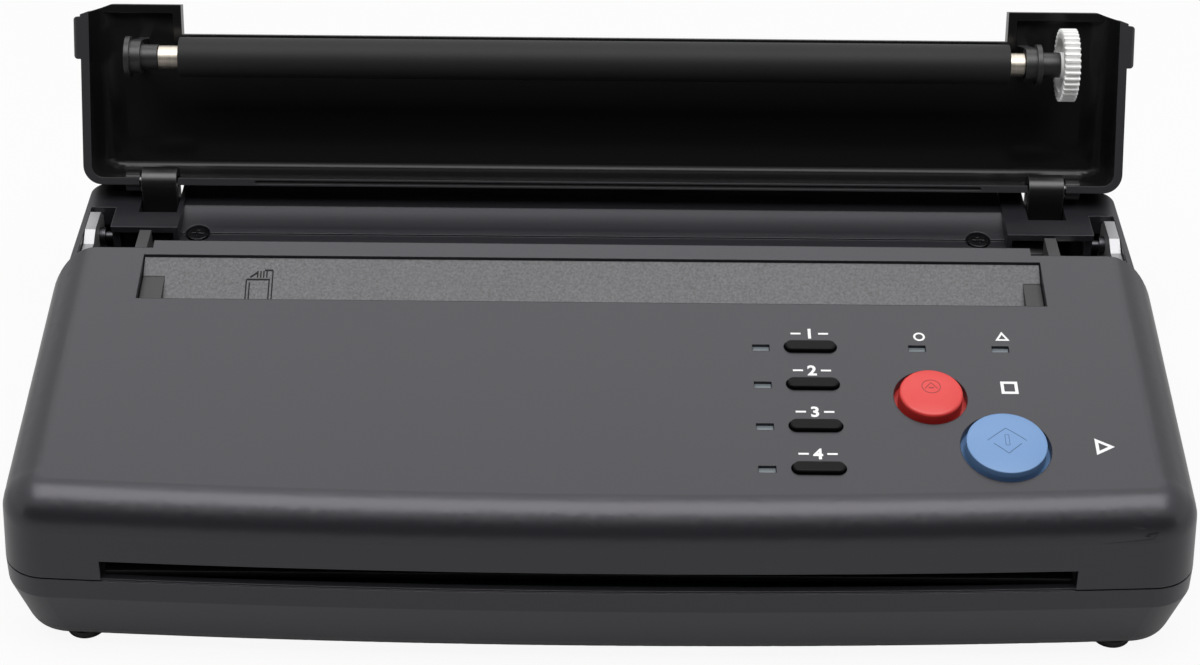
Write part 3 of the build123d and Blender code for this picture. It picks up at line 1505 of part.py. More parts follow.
with BuildPart() as platen_shaft:
    with BuildSketch(Plane.YZ.offset(left_core_x)):
        with Locations(platen_axis):
            Circle(platen_shaft_radius)
    extrude(amount=right_core_x - left_core_x)
    shaft_low_x = left_bush_x - bush_flange_width - 0.4
    with BuildSketch(Plane.YZ.offset(shaft_low_x)):
        with Locations(platen_axis):
            Circle(shaft_end_radius)
    extrude(amount=gear_x + gear_width + 0.8 - shaft_low_x)
open_lid(platen_shaft, "platen_shaft")

with BuildPart() as platen_rubber:
    with BuildSketch(Plane.YZ.offset(paper_middle_x - platen_length / 2)):
        with Locations(platen_axis):
            Circle(platen_radius)
            Circle(platen_shaft_radius, mode=Mode.SUBTRACT)
    extrude(amount=platen_length)
open_lid(platen_rubber, "platen_rubber")

with BuildPart() as platen_gear:
    add(gear_blank(platen_teeth, platen_phase, platen_axis, shaft_end_radius, 3.4, web_recess))
open_lid(platen_gear, "platen_gear")
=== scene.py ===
# %% [markdown]
# # Dressing a thermal stencil copier
# The machine arrives as a solid model: casing, lid, rollers, gears, keys and boards, each a node of its own.
# This lesson gives every piece the finish of the real thing, adds the printed marks and the moulded signs,
# and sets the machine in a plain light studio.

# %% load the frame
import json
import math

import bmesh
import bpy
import numpy as np
from mathutils import Matrix, Vector


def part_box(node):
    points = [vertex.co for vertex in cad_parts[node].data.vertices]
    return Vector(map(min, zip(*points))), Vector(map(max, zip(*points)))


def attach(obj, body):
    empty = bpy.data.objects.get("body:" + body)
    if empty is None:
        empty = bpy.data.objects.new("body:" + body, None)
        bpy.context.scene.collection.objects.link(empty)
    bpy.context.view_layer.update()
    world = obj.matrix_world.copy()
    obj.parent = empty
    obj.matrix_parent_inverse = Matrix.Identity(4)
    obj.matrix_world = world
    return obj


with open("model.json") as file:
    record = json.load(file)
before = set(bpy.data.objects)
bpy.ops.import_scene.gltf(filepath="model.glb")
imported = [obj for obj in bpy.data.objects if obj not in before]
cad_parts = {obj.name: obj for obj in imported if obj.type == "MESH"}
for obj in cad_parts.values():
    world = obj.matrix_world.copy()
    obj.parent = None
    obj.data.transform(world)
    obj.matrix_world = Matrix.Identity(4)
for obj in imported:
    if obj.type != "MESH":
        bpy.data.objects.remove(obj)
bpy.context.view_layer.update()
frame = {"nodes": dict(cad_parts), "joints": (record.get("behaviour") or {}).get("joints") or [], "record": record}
nodes = frame["nodes"]
mm = 0.001
print("pieces in the frame:", len(nodes))

# %% [markdown]
# ## The camera
# A lens of about 77 mm looks down at the machine from the operator's side. It stands a little over half a
# metre away, so the near edge looks wider than the lid. The view leans by half a degree, as from a hand-held
# camera, and that is a turn of the camera about its own line of sight.

# %% camera
picture_width = 1200  # pixels
focal_pixels = 2552.9  # the focal length in the same pixels
look_down = math.radians(34.48)
lean = 0.0092  # radians
front_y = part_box("base_shell")[0].y
camera_height = 400.4 * mm
camera_reach = 444.5 * mm  # from the machine's front
camera_side = -0.36 * mm

camera_data = bpy.data.cameras.new("studio_camera")
camera_data.sensor_width = 36.0
camera_data.lens = focal_pixels / picture_width * camera_data.sensor_width
camera = bpy.data.objects.new("studio_camera", camera_data)
bpy.context.scene.collection.objects.link(camera)
turn = Matrix.Rotation(math.pi / 2 - look_down, 4, "X") @ Matrix.Rotation(lean, 4, "Z")
camera.matrix_world = Matrix.Translation((camera_side, front_y - camera_reach, camera_height)) @ turn
bpy.context.scene.camera = camera
bpy.context.scene.view_settings.view_transform = "Standard"
print("lens:", round(camera_data.lens, 1), "mm")

# %% [markdown]
# ## A clean start for the finishes
# The frame brings a plain material for each of its slots. They go, so that the finishes made below can carry
# the slots' own names.

# %% plain materials
print("plain materials removed:", len(bpy.data.materials))
for material in list(bpy.data.materials):
    bpy.data.materials.remove(material)

# %% [markdown]
# ## Small helpers for shader trees
# A material is a tree of nodes. The helpers keep the cells short: one fills a node's sockets, one adds a
# node, three are for the sums that come up most, and the last makes a node group with named inputs and
# outputs. A group is built once and used in many materials.

# %% node helpers


def feed(tree, node, **sockets):
    """Fill a node's sockets: a value is set, a socket of another node is linked. A key _0 is a position."""
    for key, value in sockets.items():
        position = key[1:]
        socket = node.inputs[int(position) if position.isdigit() else key.replace("_", " ")]
        if isinstance(value, bpy.types.NodeSocket):
            tree.links.new(value, socket)
        else:
            socket.default_value = value


def add(tree, kind, settings=None, **sockets):
    """Add a node, set its own properties and fill its sockets."""
    node = tree.nodes.new(kind)
    for key, value in (settings or {}).items():
        setattr(node, key, value)
    feed(tree, node, **sockets)
    return node


def calc(tree, operation, first, second=0.0):
    """Result of one sum, such as MULTIPLY: first times second."""
    return add(tree, "ShaderNodeMath", {"operation": operation}, _0=first, _1=second).outputs[0]


def agreement(tree, first, second):
    """Dot product of two directions: one where they agree and zero where they are square to each other."""
    node = add(tree, "ShaderNodeVectorMath", {"operation": "DOT_PRODUCT"}, _0=first, _1=second)
    return node.outputs["Value"]


def blend(tree, kind, factor, first, second):
    """First value where the factor is zero, second where it is one, and a mix of both between."""
    node = add(tree, "ShaderNodeMix", {"data_type": kind}, Factor=factor, A=first, B=second)
    return node.outputs["Result"]


def new_group(name, inputs, outputs):
    """Make a shader node group and return it with its input and output nodes."""
    group = bpy.data.node_groups.new(name, "ShaderNodeTree")
    for label, (kind, value) in inputs.items():
        socket = group.interface.new_socket(label, in_out="INPUT", socket_type=f"NodeSocket{kind}")
        socket.default_value = value
    for label, kind in outputs.items():
        group.interface.new_socket(label, in_out="OUTPUT", socket_type=f"NodeSocket{kind}")
    return group, group.nodes.new("NodeGroupInput"), group.nodes.new("NodeGroupOutput")


# %% [markdown]
# ## Moulded grain
# A plastic housing leaves a spark-eroded mould, so its skin is covered with a fine irregular grain. The group
# mixes two sizes of noise and gives out a height for the bump and a tone that paints the tops of the grain
# lighter and its hollows darker: painted highlight and painted shade on the grain.

# %% group: moulded grain
noise_middle = 0.5  # the value that a noise texture lies about


def make_grain():
    """Height: coarse noise plus a share of finer noise. Tone: one plus the height's rise times speckle."""
    finer, fine_share = 2.3, 0.5
    height_middle = noise_middle * (1 + fine_share)
    inputs = {"Scale": ("Float", 2500.0), "Speckle": ("Float", 0.1)}
    group, start, end = new_group("moulded_grain", inputs, {"Height": "Float", "Tone": "Float"})
    place, scale = add(group, "ShaderNodeTexCoord").outputs["Object"], start.outputs["Scale"]
    coarse = add(group, "ShaderNodeTexNoise", Vector=place, Scale=scale, Detail=2.0)
    fine_scale = calc(group, "MULTIPLY", scale, finer)
    fine = add(group, "ShaderNodeTexNoise", Vector=place, Scale=fine_scale, Detail=1.0)
    height = calc(group, "ADD", coarse.outputs[0], calc(group, "MULTIPLY", fine.outputs[0], fine_share))
    rise = calc(group, "SUBTRACT", height, height_middle)
    # The tone is lighter where the grain rises and darker where it sinks: painted highlight and painted shade.
    tone = calc(group, "ADD", calc(group, "MULTIPLY", rise, start.outputs["Speckle"]), 1.0)
    feed(group, end, Height=height, Tone=tone)
    return group


moulded_grain = make_grain()
print("group:", moulded_grain.name)

# %% [markdown]
# ## Handling
# Skin that hands have polished is a little smoother in broad soft patches. The group turns a base roughness
# into one that drifts over a few centimetres.

# %% group: handling


def make_handling():
    """Roughness that drifts: the base plus a share of slow noise about zero."""
    inputs = {"Roughness": ("Float", 0.5), "Drift": ("Float", 0.1), "Scale": ("Float", 30.0)}
    group, start, end = new_group("handling", inputs, {"Roughness": "Float"})
    place = add(group, "ShaderNodeTexCoord").outputs["Object"]
    slow = add(group, "ShaderNodeTexNoise", Vector=place, Scale=start.outputs["Scale"], Detail=3.0)
    rise = calc(group, "SUBTRACT", slow.outputs[0], noise_middle)
    drift = calc(group, "MULTIPLY", rise, start.outputs["Drift"])
    feed(group, end, Roughness=calc(group, "ADD", drift, start.outputs["Roughness"]))
    return group


handling = make_handling()
print("group:", handling.name)

# %% [markdown]
# ## Broken edges
# No moulded or stamped edge is perfectly sharp. The Bevel node rounds the normal near an edge and leaves the
# mesh alone. Where the rounded normal leaves the plain one there is an edge, and there the colour is painted
# a little lighter, a painted highlight. A few slivers where fillets meet carry a smooth normal that leans far
# from their own face. There the face's own normal is used, so that they don't catch the light as scratches would.

# %% group: broken edge


def make_edge():
    """Rounded normal and edge mask. The mask is zero where the rounded and the plain normal agree.

    It grows to one where they are about thirty degrees apart. Both pairs of limits are cosines.
    """
    sliver, sound = 0.92, 0.96
    plain, wear_and_highlight = 0.995, 0.85
    inputs = {"Radius": ("Float", 0.0003)}
    group, start, end = new_group("broken_edge", inputs, {"Normal": "Vector", "Edge": "Float"})
    face = add(group, "ShaderNodeNewGeometry")
    smooth, flat = face.outputs["Normal"], face.outputs["True Normal"]
    lean_of_face = agreement(group, smooth, flat)
    trust = add(group, "ShaderNodeMapRange", Value=lean_of_face, From_Min=sliver, From_Max=sound)
    normal = blend(group, "VECTOR", trust.outputs[0], flat, smooth)
    bevel = add(group, "ShaderNodeBevel", {"samples": 6}, Radius=start.outputs["Radius"], Normal=normal)
    rounded = bevel.outputs[0]
    near = agreement(group, rounded, normal)
    # The edge mask marks where a painted highlight makes the colour paler.
    edge = add(group, "ShaderNodeMapRange", Value=near, From_Min=plain, From_Max=wear_and_highlight)
    feed(group, end, Normal=rounded, Edge=edge.outputs[0])
    return group


broken_edge = make_edge()
print("group:", broken_edge.name)

# %% [markdown]
# ## Outside or inside
# The lid is grained outside and polished inside. A face of a convex shell looks outwards where its normal
# points away from the middle of the shell, so a dot product tells the two sides apart.

# %% group: outer face


def make_outer():
    """Mask that is one on faces whose normal points away from the given centre."""
    doubt = 0.5 * mm
    inputs = {"Centre": ("Vector", (0.0, 0.0, 0.0))}
    group, start, end = new_group("outer_face", inputs, {"Outer": "Float"})
    surface = add(group, "ShaderNodeTexCoord")
    place, centre = surface.outputs["Object"], start.outputs["Centre"]
    away = add(group, "ShaderNodeVectorMath", {"operation": "SUBTRACT"}, _0=place, _1=centre)
    outward = agreement(group, away.outputs[0], surface.outputs["Normal"])
    mask = add(group, "ShaderNodeMapRange", Value=outward, From_Min=-doubt, From_Max=doubt)
    feed(group, end, Outer=mask.outputs[0])
    return group


outer_face = make_outer()
print("group:", outer_face.name)

# %% [markdown]
# ## Plastics, rubber and ceramic
# One recipe covers every skin that scatters light: a colour that the grain varies, with painted light on
# the grain's tops and painted shade in its hollows, a roughness that handling varies, a bump from the grain,
# and edges painted slightly lighter as a painted highlight. Only the numbers differ.

# %% skin recipe
edge_highlight_gain, edge_highlight_paleness = 1.5, 0.06


def start_material(name):
    """New material, its tree and its main shader."""
    material = bpy.data.materials.new(name)
    material.use_nodes = True
    tree = material.node_tree
    return material, tree, tree.nodes["Principled BSDF"]


def use(tree, group, **sockets):
    """Place a node group in a tree and fill its inputs."""
    return add(tree, "ShaderNodeGroup", {"node_tree": group}, **sockets)


def tinted(tree, colour, tone, edge, highlight_share):
    """Colour times tone, blended towards a paler one by the edge mask times the lift."""
    shade = add(tree, "ShaderNodeVectorMath", {"operation": "SCALE"}, _0=colour, Scale=tone)
    # The paler colour that edges blend towards is a painted highlight.
    pale = tuple(min(1.0, channel * edge_highlight_gain + edge_highlight_paleness) for channel in colour)
    return blend(tree, "RGBA", calc(tree, "MULTIPLY", edge, highlight_share), shade.outputs[0], (*pale, 1.0))


def skin(
    name, colour, roughness, grain=2500.0, relief=0.01, speckle=0.1, edge=0.3, lift=0.3, drift=0.08, **shader
):
    """Material of a skin that scatters light.

    Its colour is the base times the grain's tone, its roughness the base plus the drift, and its bump the
    grain's height times the relief. Grain is in cycles per metre, relief and edge radius in millimetres.
    """
    material, tree, principled = start_material(name)
    grained = use(tree, moulded_grain, Scale=grain, Speckle=speckle)
    edges = use(tree, broken_edge, Radius=edge * mm)
    wear_and_highlight = use(tree, handling, Roughness=roughness, Drift=drift)
    normal, height = edges.outputs["Normal"], grained.outputs["Height"]
    bump = add(tree, "ShaderNodeBump", Distance=relief * mm, Height=height, Normal=normal)
    # The grain's tone paints light on its tops and shade in its hollows, and the edge mask times the lift paints a
    # highlight along the edges.
    shade = tinted(tree, colour, grained.outputs["Tone"], edges.outputs["Edge"], lift)
    feed(tree, principled, Base_Color=shade, Roughness=wear_and_highlight.outputs["Roughness"], Normal=bump.outputs[0])
    feed(tree, principled, **shader)
    return material


# %% [markdown]
# ## The casing
# The housings are a dark grey plastic with a faint violet cast and a fine even grain. The chute's ramp has
# a coarser grain, so that a sheet slides on its peaks. Its colour is painted paler and strongly speckled,
# a painted highlight for the light that the peaks catch.
# The parts behind the casing are plain black or grey plastic, and the feet are soft dull rubber.

# %% casing materials
casing_grey = (0.0152, 0.0145, 0.0175)
casing_sheen = (0.96, 0.94, 1.0, 1.0)
casing_grain, casing_speckle = 3000, 0.25
skin(
    "casing", casing_grey, roughness=0.32, grain=casing_grain, relief=0.007, speckle=casing_speckle,
    lift=0.0, drift=0.04, Specular_Tint=casing_sheen,
)
# The ramp's paler colour and strong speckle are a painted highlight on the grain's peaks.
skin("ramp", (0.07, 0.069, 0.074), roughness=0.5, grain=1600, relief=0.06, speckle=2.0, lift=0.1)
skin("inner_black", (0.012, 0.012, 0.013), roughness=0.45, grain=1200, lift=0.12)
skin("guide_black", (0.012, 0.012, 0.0125), roughness=0.45, grain=1200, lift=0.2)
skin("frame_grey", (0.05, 0.05, 0.052), roughness=0.5, grain=2000, lift=0.2)
skin("foot_rubber", (0.02, 0.02, 0.02), roughness=0.8, grain=900, relief=0.03, speckle=0.3, lift=0.05)
print("finishes:", len(bpy.data.materials))

# %% [markdown]
# ## The lid
# Inside, the lid is polished black and reflects like dark glass. Outside it wears the casing's grain. The two
# finishes meet in one material, which the mask of outer faces divides. A shader's specular level has to stay
# one number for an export to keep it, so the lid has the polished side's low level all over, and a clear coat
# that the mask lays on the outside makes up the difference to the casing.

# %% lid material


def make_lid():
    """Polished black inside and casing grain outside, divided by the outer face mask."""
    polished, grained_outside = 0.2, 0.42  # roughness
    polished_level, casing_level = 0.22, 0.5  # specular
    inside_highlight, outside_highlight = 0.12, 0.15
    inside_black = (0.0085, 0.0085, 0.009)
    rim_radius, relief = 0.35 * mm, 0.012 * mm
    material, tree, principled = start_material("lid_black")
    low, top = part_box("lid_shell")
    mask = use(tree, outer_face, Centre=tuple((low + top) / 2)).outputs["Outer"]
    grained = use(tree, moulded_grain, Scale=casing_grain, Speckle=casing_speckle)
    tone, height = grained.outputs["Tone"], grained.outputs["Height"]
    edges = use(tree, broken_edge, Radius=rim_radius)
    # On both sides the edge mask paints a highlight: the colour is blended paler along edges.
    inside = tinted(tree, inside_black, tone, edges.outputs["Edge"], inside_highlight)
    outside = tinted(tree, casing_grey, tone, edges.outputs["Edge"], outside_highlight)
    shine = add(tree, "ShaderNodeMapRange", Value=mask, To_Min=polished, To_Max=grained_outside)
    coat = calc(tree, "MULTIPLY", mask, 1 - polished_level / casing_level)
    depth = calc(tree, "MULTIPLY", mask, height)
    bump = add(tree, "ShaderNodeBump", Distance=relief, Height=depth, Normal=edges.outputs["Normal"])
    feed(tree, principled, Base_Color=blend(tree, "RGBA", mask, inside, outside))
    feed(tree, principled, Roughness=shine.outputs[0], Normal=bump.outputs[0], Coat_Weight=coat)
    feed(tree, principled, Coat_Roughness=grained_outside, Specular_IOR_Level=polished_level)
    return material


lid_black = make_lid()
print("finish:", lid_black.name)

# %% [markdown]
# ## Brackets, bushes and keys
# The small black mouldings are darker than the casing, and their rims are painted paler as thin lines, a
# painted highlight. The keys reflect least, so their specular level is low.

# %% small black mouldings
skin("bracket_black", (0.007, 0.007, 0.0075), roughness=0.3, relief=0.004, edge=0.4, lift=0.5)
skin("bush_black", (0.014, 0.014, 0.015), roughness=0.4, relief=0.006, lift=0.35)
skin(
    "key_black", (0.005, 0.005, 0.0055), roughness=0.3, relief=0.004, edge=0.4, lift=0.5,
    Specular_IOR_Level=0.08,
)
print("finishes:", len(bpy.data.materials))

# %% [markdown]
# ## Colour parts
# The stop button is a warm red and the start button a soft blue, both in a dense satin plastic with hardly
# any speckle and a rounded rim. The lamps' lenses are grey until they light.

# %% colour materials
satin = {"roughness": 0.38, "grain": 2200, "relief": 0.006, "speckle": 0.04, "edge": 0.5, "lift": 0.1}
skin("stop_red", (0.61, 0.036, 0.032), **satin)
skin("start_blue", (0.135, 0.255, 0.475), **satin)
skin("lamp_lens", (0.13, 0.15, 0.165), roughness=0.3, grain=1500, relief=0.02, speckle=0.4)
print("finishes:", len(bpy.data.materials))

# %% [markdown]
# ## Gears, print, rubber and ceramic
# The gears are white plastic and the marks white ink. The platen's rubber is black and dull, so its specular
# level is low. The print head's strip is a pale glazed ceramic with a low roughness.

# %% pale parts and rubber
skin("white_gear", (0.9, 0.9, 0.89), roughness=0.42, grain=700, speckle=0.05, lift=0.1)
print_white = skin(
    "print_white", (0.8, 0.8, 0.8), roughness=0.6, grain=6000, relief=0.004, edge=0.02, lift=0.0
)
skin(
    "platen_rubber", (0.01, 0.01, 0.0105), roughness=0.6, grain=2600, relief=0.02, speckle=0.35, lift=0.1,
    Specular_IOR_Level=0.25,
)
skin("head_ceramic", (0.42, 0.42, 0.4), roughness=0.2, grain=500, relief=0.003, speckle=0.08, lift=0.1)
print("finishes:", len(bpy.data.materials))

# %% [markdown]
# ## Grooves
# A sign moulded in a button or in the ramp is a narrow groove. The machine's own meshes stay as they are, so
# a very thin strip stands for the groove: it has the piece's colour as it looks in shade, and no pale edge.

# %% groove materials
red_groove = skin("red_groove", (0.22, 0.012, 0.012), roughness=0.5, relief=0.004, edge=0.02, lift=0.0)
blue_groove = skin("blue_groove", (0.045, 0.1, 0.2), roughness=0.5, relief=0.004, edge=0.02, lift=0.0)
ramp_groove = skin(
    "ramp_groove", (0.004, 0.004, 0.004), roughness=0.6, edge=0.02, lift=0.0, Specular_IOR_Level=0.15
)
print("finishes:", len(bpy.data.materials))

# %% [markdown]
# ## Metals
# A turned shaft shows fine rings, and rolled sheet shows lines along its length. Both are noise that is
# stretched: it varies fast across the lines and slowly along them. Springs, screws and the motor's case have
# no lines, so their noise is the same in all directions.

# %% metal recipe
tone_low, tone_high = 0.75, 1.2
rough_low, rough_high = 0.7, 1.3


def metal(name, colour, roughness, lines=(6000.0, 40.0, 40.0), relief=0.003, edge=0.2, lift=0.3):
    """Metal whose colour, roughness and bump vary with one noise over the place times the three line counts.

    The counts are cycles per metre along X, Y and Z. Relief and edge radius are in millimetres.
    """
    material, tree, principled = start_material(name)
    place = add(tree, "ShaderNodeTexCoord").outputs["Object"]
    stretched = add(tree, "ShaderNodeVectorMath", {"operation": "MULTIPLY"}, _0=place, _1=lines)
    marks = add(tree, "ShaderNodeTexNoise", Vector=stretched.outputs[0], Scale=1.0, Detail=3.0).outputs[0]
    edges = use(tree, broken_edge, Radius=edge * mm)
    tone = add(tree, "ShaderNodeMapRange", Value=marks, To_Min=tone_low, To_Max=tone_high)
    rough = add(
        tree, "ShaderNodeMapRange", Value=marks, To_Min=roughness * rough_low, To_Max=roughness * rough_high
    )
    bump = add(tree, "ShaderNodeBump", Distance=relief * mm, Height=marks, Normal=edges.outputs["Normal"])
    # Edges are painted paler by the edge mask times the lift, a painted highlight.
    shade = tinted(tree, colour, tone.outputs[0], edges.outputs["Edge"], lift)
    feed(tree, principled, Base_Color=shade, Roughness=rough.outputs[0], Normal=bump.outputs[0])
    feed(tree, principled, Metallic=1.0)
    return material


# %% metal materials
even = (900, 900, 900)
metal("shaft_steel", (0.56, 0.51, 0.44), roughness=0.42)
metal("pin_steel", (0.5, 0.5, 0.51), roughness=0.3)
metal("spring_steel", (0.5, 0.5, 0.52), roughness=0.25, lines=even)
metal("motor_steel", (0.45, 0.45, 0.46), roughness=0.35, lines=(300, 300, 300))
metal("screw_steel", (0.42, 0.42, 0.43), roughness=0.3, lines=even)
metal("dark_screw", (0.055, 0.055, 0.06), roughness=0.32, lines=even, lift=0.5)
metal("pinion_brass", (0.62, 0.46, 0.2), roughness=0.28)
metal("plate_grey", (0.36, 0.36, 0.37), roughness=0.5, lines=(60, 60, 2500))
print("finishes:", len(bpy.data.materials))

# %% [markdown]
# ## Circuit boards
# A board is green under its solder mask, with copper tracks that show as paler lines, and the parts on it are
# dark. One material serves the whole solid: a face that looks up or down is green, and an upright side, which
# belongs to a part that stands on the board, is dark.

# %% board material


def make_board():
    """Green with pale tracks where the normal's upright share is large, and dark where it is small."""
    mask_green, mask_green_deep = (0.014, 0.13, 0.05, 1.0), (0.012, 0.11, 0.045, 1.0)
    track_green = (0.05, 0.26, 0.12, 1.0)
    part_black = (0.02, 0.02, 0.022, 1.0)
    upright_side, board_face = 0.4, 0.9
    material, tree, principled = start_material("circuit_green")
    surface = add(tree, "ShaderNodeTexCoord")
    tracks = add(
        tree, "ShaderNodeTexBrick", Vector=surface.outputs["Object"], Scale=90.0, Mortar_Size=0.012,
        Color1=mask_green_deep, Color2=mask_green, Mortar=track_green,
    )
    direction = add(tree, "ShaderNodeSeparateXYZ", _0=surface.outputs["Normal"])
    level = calc(tree, "ABSOLUTE", direction.outputs["Z"])
    face = add(tree, "ShaderNodeMapRange", Value=level, From_Min=upright_side, From_Max=board_face)
    shade = blend(tree, "RGBA", face.outputs[0], part_black, tracks.outputs["Color"])
    wear_and_highlight = use(tree, handling, Roughness=0.35, Drift=0.2, Scale=80.0)
    feed(tree, principled, Base_Color=shade, Roughness=wear_and_highlight.outputs["Roughness"])
    return material


circuit_green = make_board()
print("finish:", circuit_green.name)

# %% [markdown]
# ## The scanner's glass
# A thin clear strip covers the image sensor. Its transmission is a plain value, and a slow drift in roughness
# stands for the film that paper leaves on it.

# %% glass material


def make_glass():
    """Clear strip: a pale tint times the grain's tone, and a low roughness that drifts."""
    tint = (0.8, 0.86, 0.86)
    material, tree, principled = start_material("clear_glass")
    wear_and_highlight = use(tree, handling, Roughness=0.08, Drift=0.06, Scale=60.0)
    tone = use(tree, moulded_grain, Scale=400.0, Speckle=0.02).outputs["Tone"]
    colour = add(tree, "ShaderNodeVectorMath", {"operation": "SCALE"}, _0=tint, Scale=tone)
    feed(tree, principled, Base_Color=colour.outputs[0], Roughness=wear_and_highlight.outputs["Roughness"])
    feed(tree, principled, Transmission_Weight=0.8)
    return material


clear_glass = make_glass()
print("finish:", clear_glass.name)

# %% [markdown]
# ## Giving each node its finish
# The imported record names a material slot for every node. The slot's name is the material's name here, so one
# loop dresses the whole machine.

# %% dress the nodes
for part in frame["record"]["subparts"]:
    for material_slot in nodes[part["node"]].material_slots:
        material_slot.material = bpy.data.materials[part["material_slot"]]

# %% [markdown]
# ## The panel's own grid
# The keys slide along the panel's normal, so their joint gives the slope. A point on the panel is then a
# distance to the right, a distance up the slope and a lift off the surface.

# %% panel grid
press = Vector(next(joint["axis"] for joint in frame["joints"] if joint["name"] == "key_1_press"))
panel_up = -press.normalized()
panel_along = panel_up.cross(Vector((1, 0, 0)))
panel_front_height = 43.2 * mm
panel_front = Vector((0, front_y, panel_front_height))
print("panel slope:", round(math.degrees(math.asin(panel_along.z)), 1), "degrees")


def on_panel(points):
    """Panel coordinates (right, up the slope, lift) to space, for an array of points."""
    axes = np.array([(1, 0, 0), panel_along, panel_up])
    return np.array(panel_front) + np.asarray(points) @ axes


def panel_place(node):
    """Middle of a node's box in panel coordinates: its offset from the panel's front along each axis."""
    low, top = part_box(node)
    offset = (low + top) / 2 - panel_front
    return np.array((offset.x, offset.dot(panel_along), offset.dot(panel_up)))


# %% [markdown]
# ## Ribbons
# Printed lines and the strips for grooves are narrow ribbons that follow a path on a surface. At each point
# of the path the ribbon's edge lies half a width to the side, further out at a corner so that its width is
# kept.

# %% ribbon


def ribbon(path, width, thickness, closed):
    """Strip with a rectangular section along a flat path.

    The side direction at a point is the mean of its two runs' normals over the cosine of half the turn.
    """
    path = np.asarray(path, float)
    run = np.roll(path, -1, axis=0) - path
    if not closed:
        run[-1] = run[-2]
    run /= np.linalg.norm(run, axis=1)[:, None]
    before = np.roll(run, 1, axis=0)
    if not closed:
        before[0] = run[0]
    normal = np.stack((-run[:, 1], run[:, 0]), axis=1)
    last = np.stack((-before[:, 1], before[:, 0]), axis=1)
    side = normal + last
    side /= (side * normal).sum(axis=1)[:, None]
    left, right = path + side * width / 2, path - side * width / 2
    low, top = np.zeros((len(path), 1)), np.full((len(path), 1), thickness)
    section = ((left, low), (right, low), (right, top), (left, top))
    ring = np.stack([np.hstack(pair) for pair in section], axis=1)
    count = len(path)
    first = np.arange(count if closed else count - 1)[:, None]
    second = (first + 1) % count
    corner = np.arange(4)[None, :]
    following = (corner + 1) % 4
    sides = (first * 4 + corner, first * 4 + following, second * 4 + following, second * 4 + corner)
    faces = np.stack(sides, axis=-1).reshape(-1, 4)
    if not closed:
        ends = np.array([[3, 2, 1, 0], np.arange(4) + 4 * (count - 1)])
        faces = np.vstack((faces, ends))
    return ring.reshape(-1, 3), faces


def circle(centre, radius, count=48, start=0.0):
    """Points round a circle: centre plus radius times (cosine, sine). Few points make an even polygon."""
    angle = math.radians(start) + np.linspace(0, 2 * math.pi, count, endpoint=False)
    return np.asarray(centre) + radius * np.stack((np.cos(angle), np.sin(angle)), axis=1)


# %% meshes
merge_distance = 1e-6


def join(parts):
    """Stack several (points, faces) pairs into one: each part's faces are counted on from the last point."""
    points, faces, offset = [], [], 0
    for part_points, part_faces in parts:
        points.append(part_points)
        faces.extend([int(corner) + offset for corner in face] for face in part_faces)
        offset += len(part_points)
    return np.vstack(points), faces


def piece(name, points, faces, material, body):
    """Put points and faces into an object that rides on a body, with its normals outwards."""
    mesh = bpy.data.meshes.new(name)
    mesh.from_pydata(np.asarray(points).tolist(), [], [list(face) for face in faces])
    work = bmesh.new()
    work.from_mesh(mesh)
    bmesh.ops.remove_doubles(work, verts=work.verts, dist=merge_distance)
    bmesh.ops.recalc_face_normals(work, faces=work.faces)
    work.to_mesh(mesh)
    work.free()
    mesh.materials.append(material)
    made = bpy.data.objects.new(name, mesh)
    bpy.context.scene.collection.objects.link(made)
    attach(made, body)
    print("piece:", name, "on", body, "with", len(mesh.polygons), "faces")


# %% [markdown]
# ## Printed marks
# White marks stand above the keys and beside the buttons. They are plain numbers and simple signs: each key
# has its number between two short dashes, the two status lamps have a ring and a triangle, and the buttons
# have a square for stop and a triangle for start.

# %% numbers
print_thickness = 0.03 * mm
number_height = 3.1 * mm
digit_share = 0.7  # of the type size
digit_swell = 0.14 * mm  # makes the thin typeface bold


def number_mesh(text, height):
    """Outline of a number from the built-in typeface, as points and faces about its own middle."""
    curve = bpy.data.curves.new("number", "FONT")
    curve.body = text
    curve.size = height / digit_share
    curve.extrude = print_thickness / 2
    curve.offset = digit_swell
    curve.resolution_u = 4
    holder = bpy.data.objects.new("number", curve)
    bpy.context.scene.collection.objects.link(holder)
    bpy.context.view_layer.update()
    mesh = bpy.data.meshes.new_from_object(holder.evaluated_get(bpy.context.evaluated_depsgraph_get()))
    points = np.zeros(len(mesh.vertices) * 3)
    mesh.vertices.foreach_get("co", points)
    points = points.reshape(-1, 3)
    points -= (points.min(axis=0) + points.max(axis=0)) / 2
    points[:, 2] += print_thickness / 2
    faces = [list(polygon.vertices) for polygon in mesh.polygons]
    bpy.data.objects.remove(holder)
    return points, faces


# %% print above the keys
number_rise = 4.2 * mm
dash_width = 0.55 * mm
dash_length = 2.4 * mm
dash_start = 2.1 * mm
marks = []
for key_number in range(1, 5):
    x, row, _ = panel_place(f"key_{key_number}")
    row += number_rise
    points, faces = number_mesh(str(key_number), number_height)
    marks.append((points + (x, row, 0), faces))
    for side in (-1, 1):
        dash = [(x + side * dash_start, row), (x + side * (dash_start + dash_length), row)]
        marks.append(ribbon(dash, dash_width, print_thickness, False))

